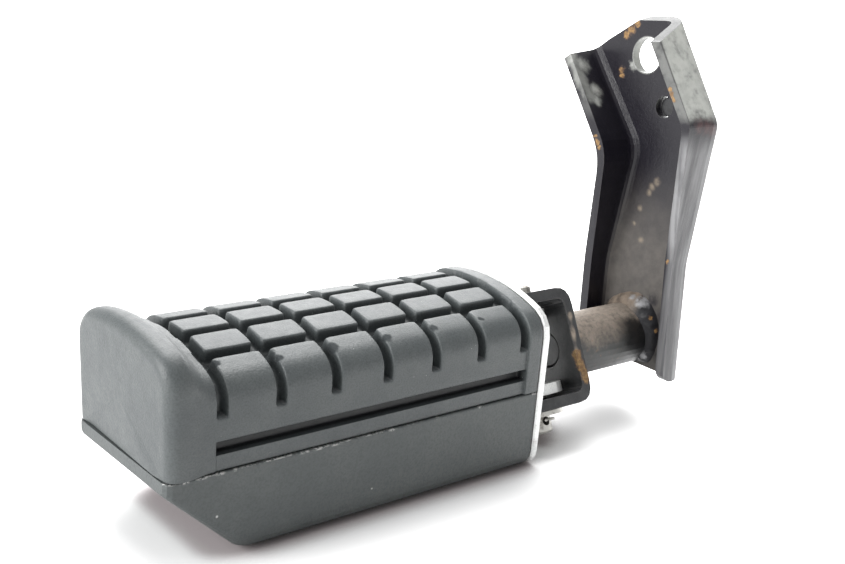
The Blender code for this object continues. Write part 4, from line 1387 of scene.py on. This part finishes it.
@dataclass
class Peg:
    """The folding side: casting, pad, shell and the screws that clamp them."""

    nose_reach: float = 22.0 * MM
    nose_proud: float = 0.35 * MM
    hidden: tuple[str, ...] = (
        "pad_insert",
        "clamp_screw_outer",
        "clamp_screw_inner",
        "screw_washer_outer",
        "screw_washer_inner",
    )

    def build(self) -> None:
        """Dresses the peg's solids and adds its moulded pad and slanted shell."""
        dress("peg_core", BareCasting().make())
        settle(self.slanted_shell(ShellPaint().make()), "peg", "grey_black_paint", "lower_shell")
        zinc = ZincPlate("screw_zinc", (0.46, 0.45, 0.42), darkening=0.45).make()
        for node in self.hidden:
            dress(node, zinc)
        settle(TreadPad(MouldedRubber().make()).build(), "peg", "black_rubber", "tread_pad")

    def slanted_shell(self, finish: Material) -> Piece:
        """Copies the lower shell, its nose slanted like the pad's end and a little proud of it.

        Args:
            finish: The shell's material.

        Returns:
            The piece.
        """
        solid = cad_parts["lower_shell"]
        mesh = solid.data.copy()
        mesh.materials.clear()
        mesh.materials.append(finish)
        for vertex in mesh.vertices:
            share = 1 - (vertex.co.x - PEG_NOSE) / self.nose_reach
            if share > 0:
                across = PEG_HALF_WIDTH + vertex.co.y - PIVOT.y
                vertex.co.x -= share * (NOSE_SLANT * across + self.nose_proud)
        shell = bpy.data.objects.new("nosed_shell", mesh)
        shell.matrix_world = solid.matrix_world
        bpy.context.scene.collection.objects.link(shell)
        return shell


@dataclass
class Studio:
    """The pale floor, the soft lamps, the world and the camera, placed as the photograph shows the part."""

    focal_pixels: float = 1180.65
    photo_width: int = 845
    sensor: float = 36.0
    eye: Place = (-0.28157, -0.22859, 0.03857)
    right: Place = (0.7744, -0.6279, 0.0772)
    down: Place = (-0.1243, -0.2707, -0.9546)
    ahead: Place = (0.6203, 0.7297, -0.2877)
    middle: Place = (-0.10, 0.0, -0.06)
    lamps: tuple[tuple[str, Place, float, float], ...] = (
        ("top", (0.5, 0.9, 1.7), 1.6, 60.0),
        ("left", (-1.60, 0.24, 0.72), 1.2, 46.0),
        ("back", (1.0, 1.2, 0.6), 1.2, 14.0),
    )
    floor_reach: float = 30.0
    floor_gap: float = 0.05 * MM
    touch_reach: float = 9.0 * MM
    shade_reach: float = 30.0 * MM
    sky_light: float = 0.50

    def build(self) -> None:
        """Builds the whole studio."""
        self.floor()
        self.world()
        for lamp in self.lamps:
            self.lamp(*lamp)
        self.camera()
        bpy.context.scene.view_settings.view_transform = "Standard"

    def floor(self) -> None:
        """Lays the floor under the part's lowest point. It is seen white, and darker where the part shades it, with a
        painted contact shadow close to the part and painted light that lightens the shadow beside it.
        """
        reach, level = self.floor_reach, CAD_BOX[0][2] - self.floor_gap
        shader = Shader("pale_floor")
        seen = self.seen(shader)
        # Painted contact shadow: the floor's colour darkens where the part is close.
        contact_shadow = self.openness(shader, self.touch_reach).rise(0.85, 0.45) * seen
        tint = shader.blend(contact_shadow, (0.88, 0.88, 0.88), (0.38, 0.345, 0.35))
        matt = shader.add("ShaderNodeBsdfDiffuse", None, {"Color": tint})
        distance = shader.vector("LENGTH", shader.places, output="Value")
        # Painted light: a glow seen by the camera, strongest in the open and towards +X, lightens the part's shadow;
        # the far floor glows white.
        painted_light_beside = shader.axis("X").rise(-0.080, -0.045) * 0.55
        painted_light_open = self.openness(shader, self.shade_reach).rise(0.40, 0.95) * (painted_light_beside + 0.30)
        strength = seen * (painted_light_open + distance.rise(0.5, 1.6) * 0.5)
        glow = shader.add("ShaderNodeEmission", None, {"Color": WHITE, "Strength": strength})
        surface = shader.add("ShaderNodeAddShader", None, {0: matt, 1: glow})
        shader.add("ShaderNodeOutputMaterial", None, {"Surface": surface})
        corners = [(-reach, -reach, level), (reach, -reach, level), (reach, reach, level), (-reach, reach, level)]
        new_piece("floor", corners, [(0, 1, 2, 3)], shader.owner)

    def openness(self, shader: Shader, reach: float) -> Socket:
        """How open the floor lies: 1 in the open, and less within reach of the part."""
        return shader.add("ShaderNodeAmbientOcclusion", {"samples": 8}, {"Distance": reach}, "AO")

    def seen(self, shader: Shader) -> Socket:
        """1 for the rays of the camera and of reflections, 0 for all others."""
        rays = [shader.add("ShaderNodeLightPath", output=name) for name in ("Is Camera Ray", "Is Glossy Ray")]
        return rays[0] | rays[1]

    def world(self) -> None:
        """Surrounds the scene with a sky that is seen white and lights softly."""
        world = bpy.data.worlds.new("white_room")
        bpy.context.scene.world = world
        shader = Shader("white_room", world=world)
        strength = self.seen(shader) * (1.0 - self.sky_light) + self.sky_light
        sky = shader.add("ShaderNodeBackground", None, {"Color": WHITE, "Strength": strength})
        shader.add("ShaderNodeOutputWorld", None, {"Surface": sky})

    def lamp(self, name: str, offset: Place, size: float, power: float) -> None:
        """Adds one soft square lamp, turned to the part.

        Args:
            name: The lamp's name.
            offset: Where it stands, from the part's middle.
            size: The length of its sides.
            power: Its power in watts.
        """
        data = bpy.data.lights.new(name, "AREA")
        data.size, data.energy = size, power
        lamp = bpy.data.objects.new(name, data)
        lamp.location = Vector(self.middle) + Vector(offset)
        lamp.rotation_euler = (-Vector(offset)).to_track_quat("-Z", "Y").to_euler()
        bpy.context.scene.collection.objects.link(lamp)

    def camera(self) -> None:
        """Sets the camera where the photograph was taken from."""
        data = bpy.data.cameras.new("photo_view")
        data.sensor_width = self.sensor
        data.lens = self.focal_pixels / self.photo_width * self.sensor
        data.clip_start = 0.01
        camera = bpy.data.objects.new("photo_view", data)
        axes = (Vector(self.right), -Vector(self.down), -Vector(self.ahead), Vector(self.eye))
        camera.matrix_world = Matrix([[axis[row] for axis in axes] for row in range(3)] + [[0.0, 0.0, 0.0, 1.0]])
        bpy.context.scene.collection.objects.link(camera)
        bpy.context.scene.camera = camera


def main() -> None:
    """Builds the looks in order."""
    logging.basicConfig(level=logging.INFO, format="%(name)s: %(message)s")
    for assembly in (Studio(), Hanger(), Peg()):
        log.info("building %s", type(assembly).__name__)
        assembly.build()


if __name__ == "__main__":
    main()
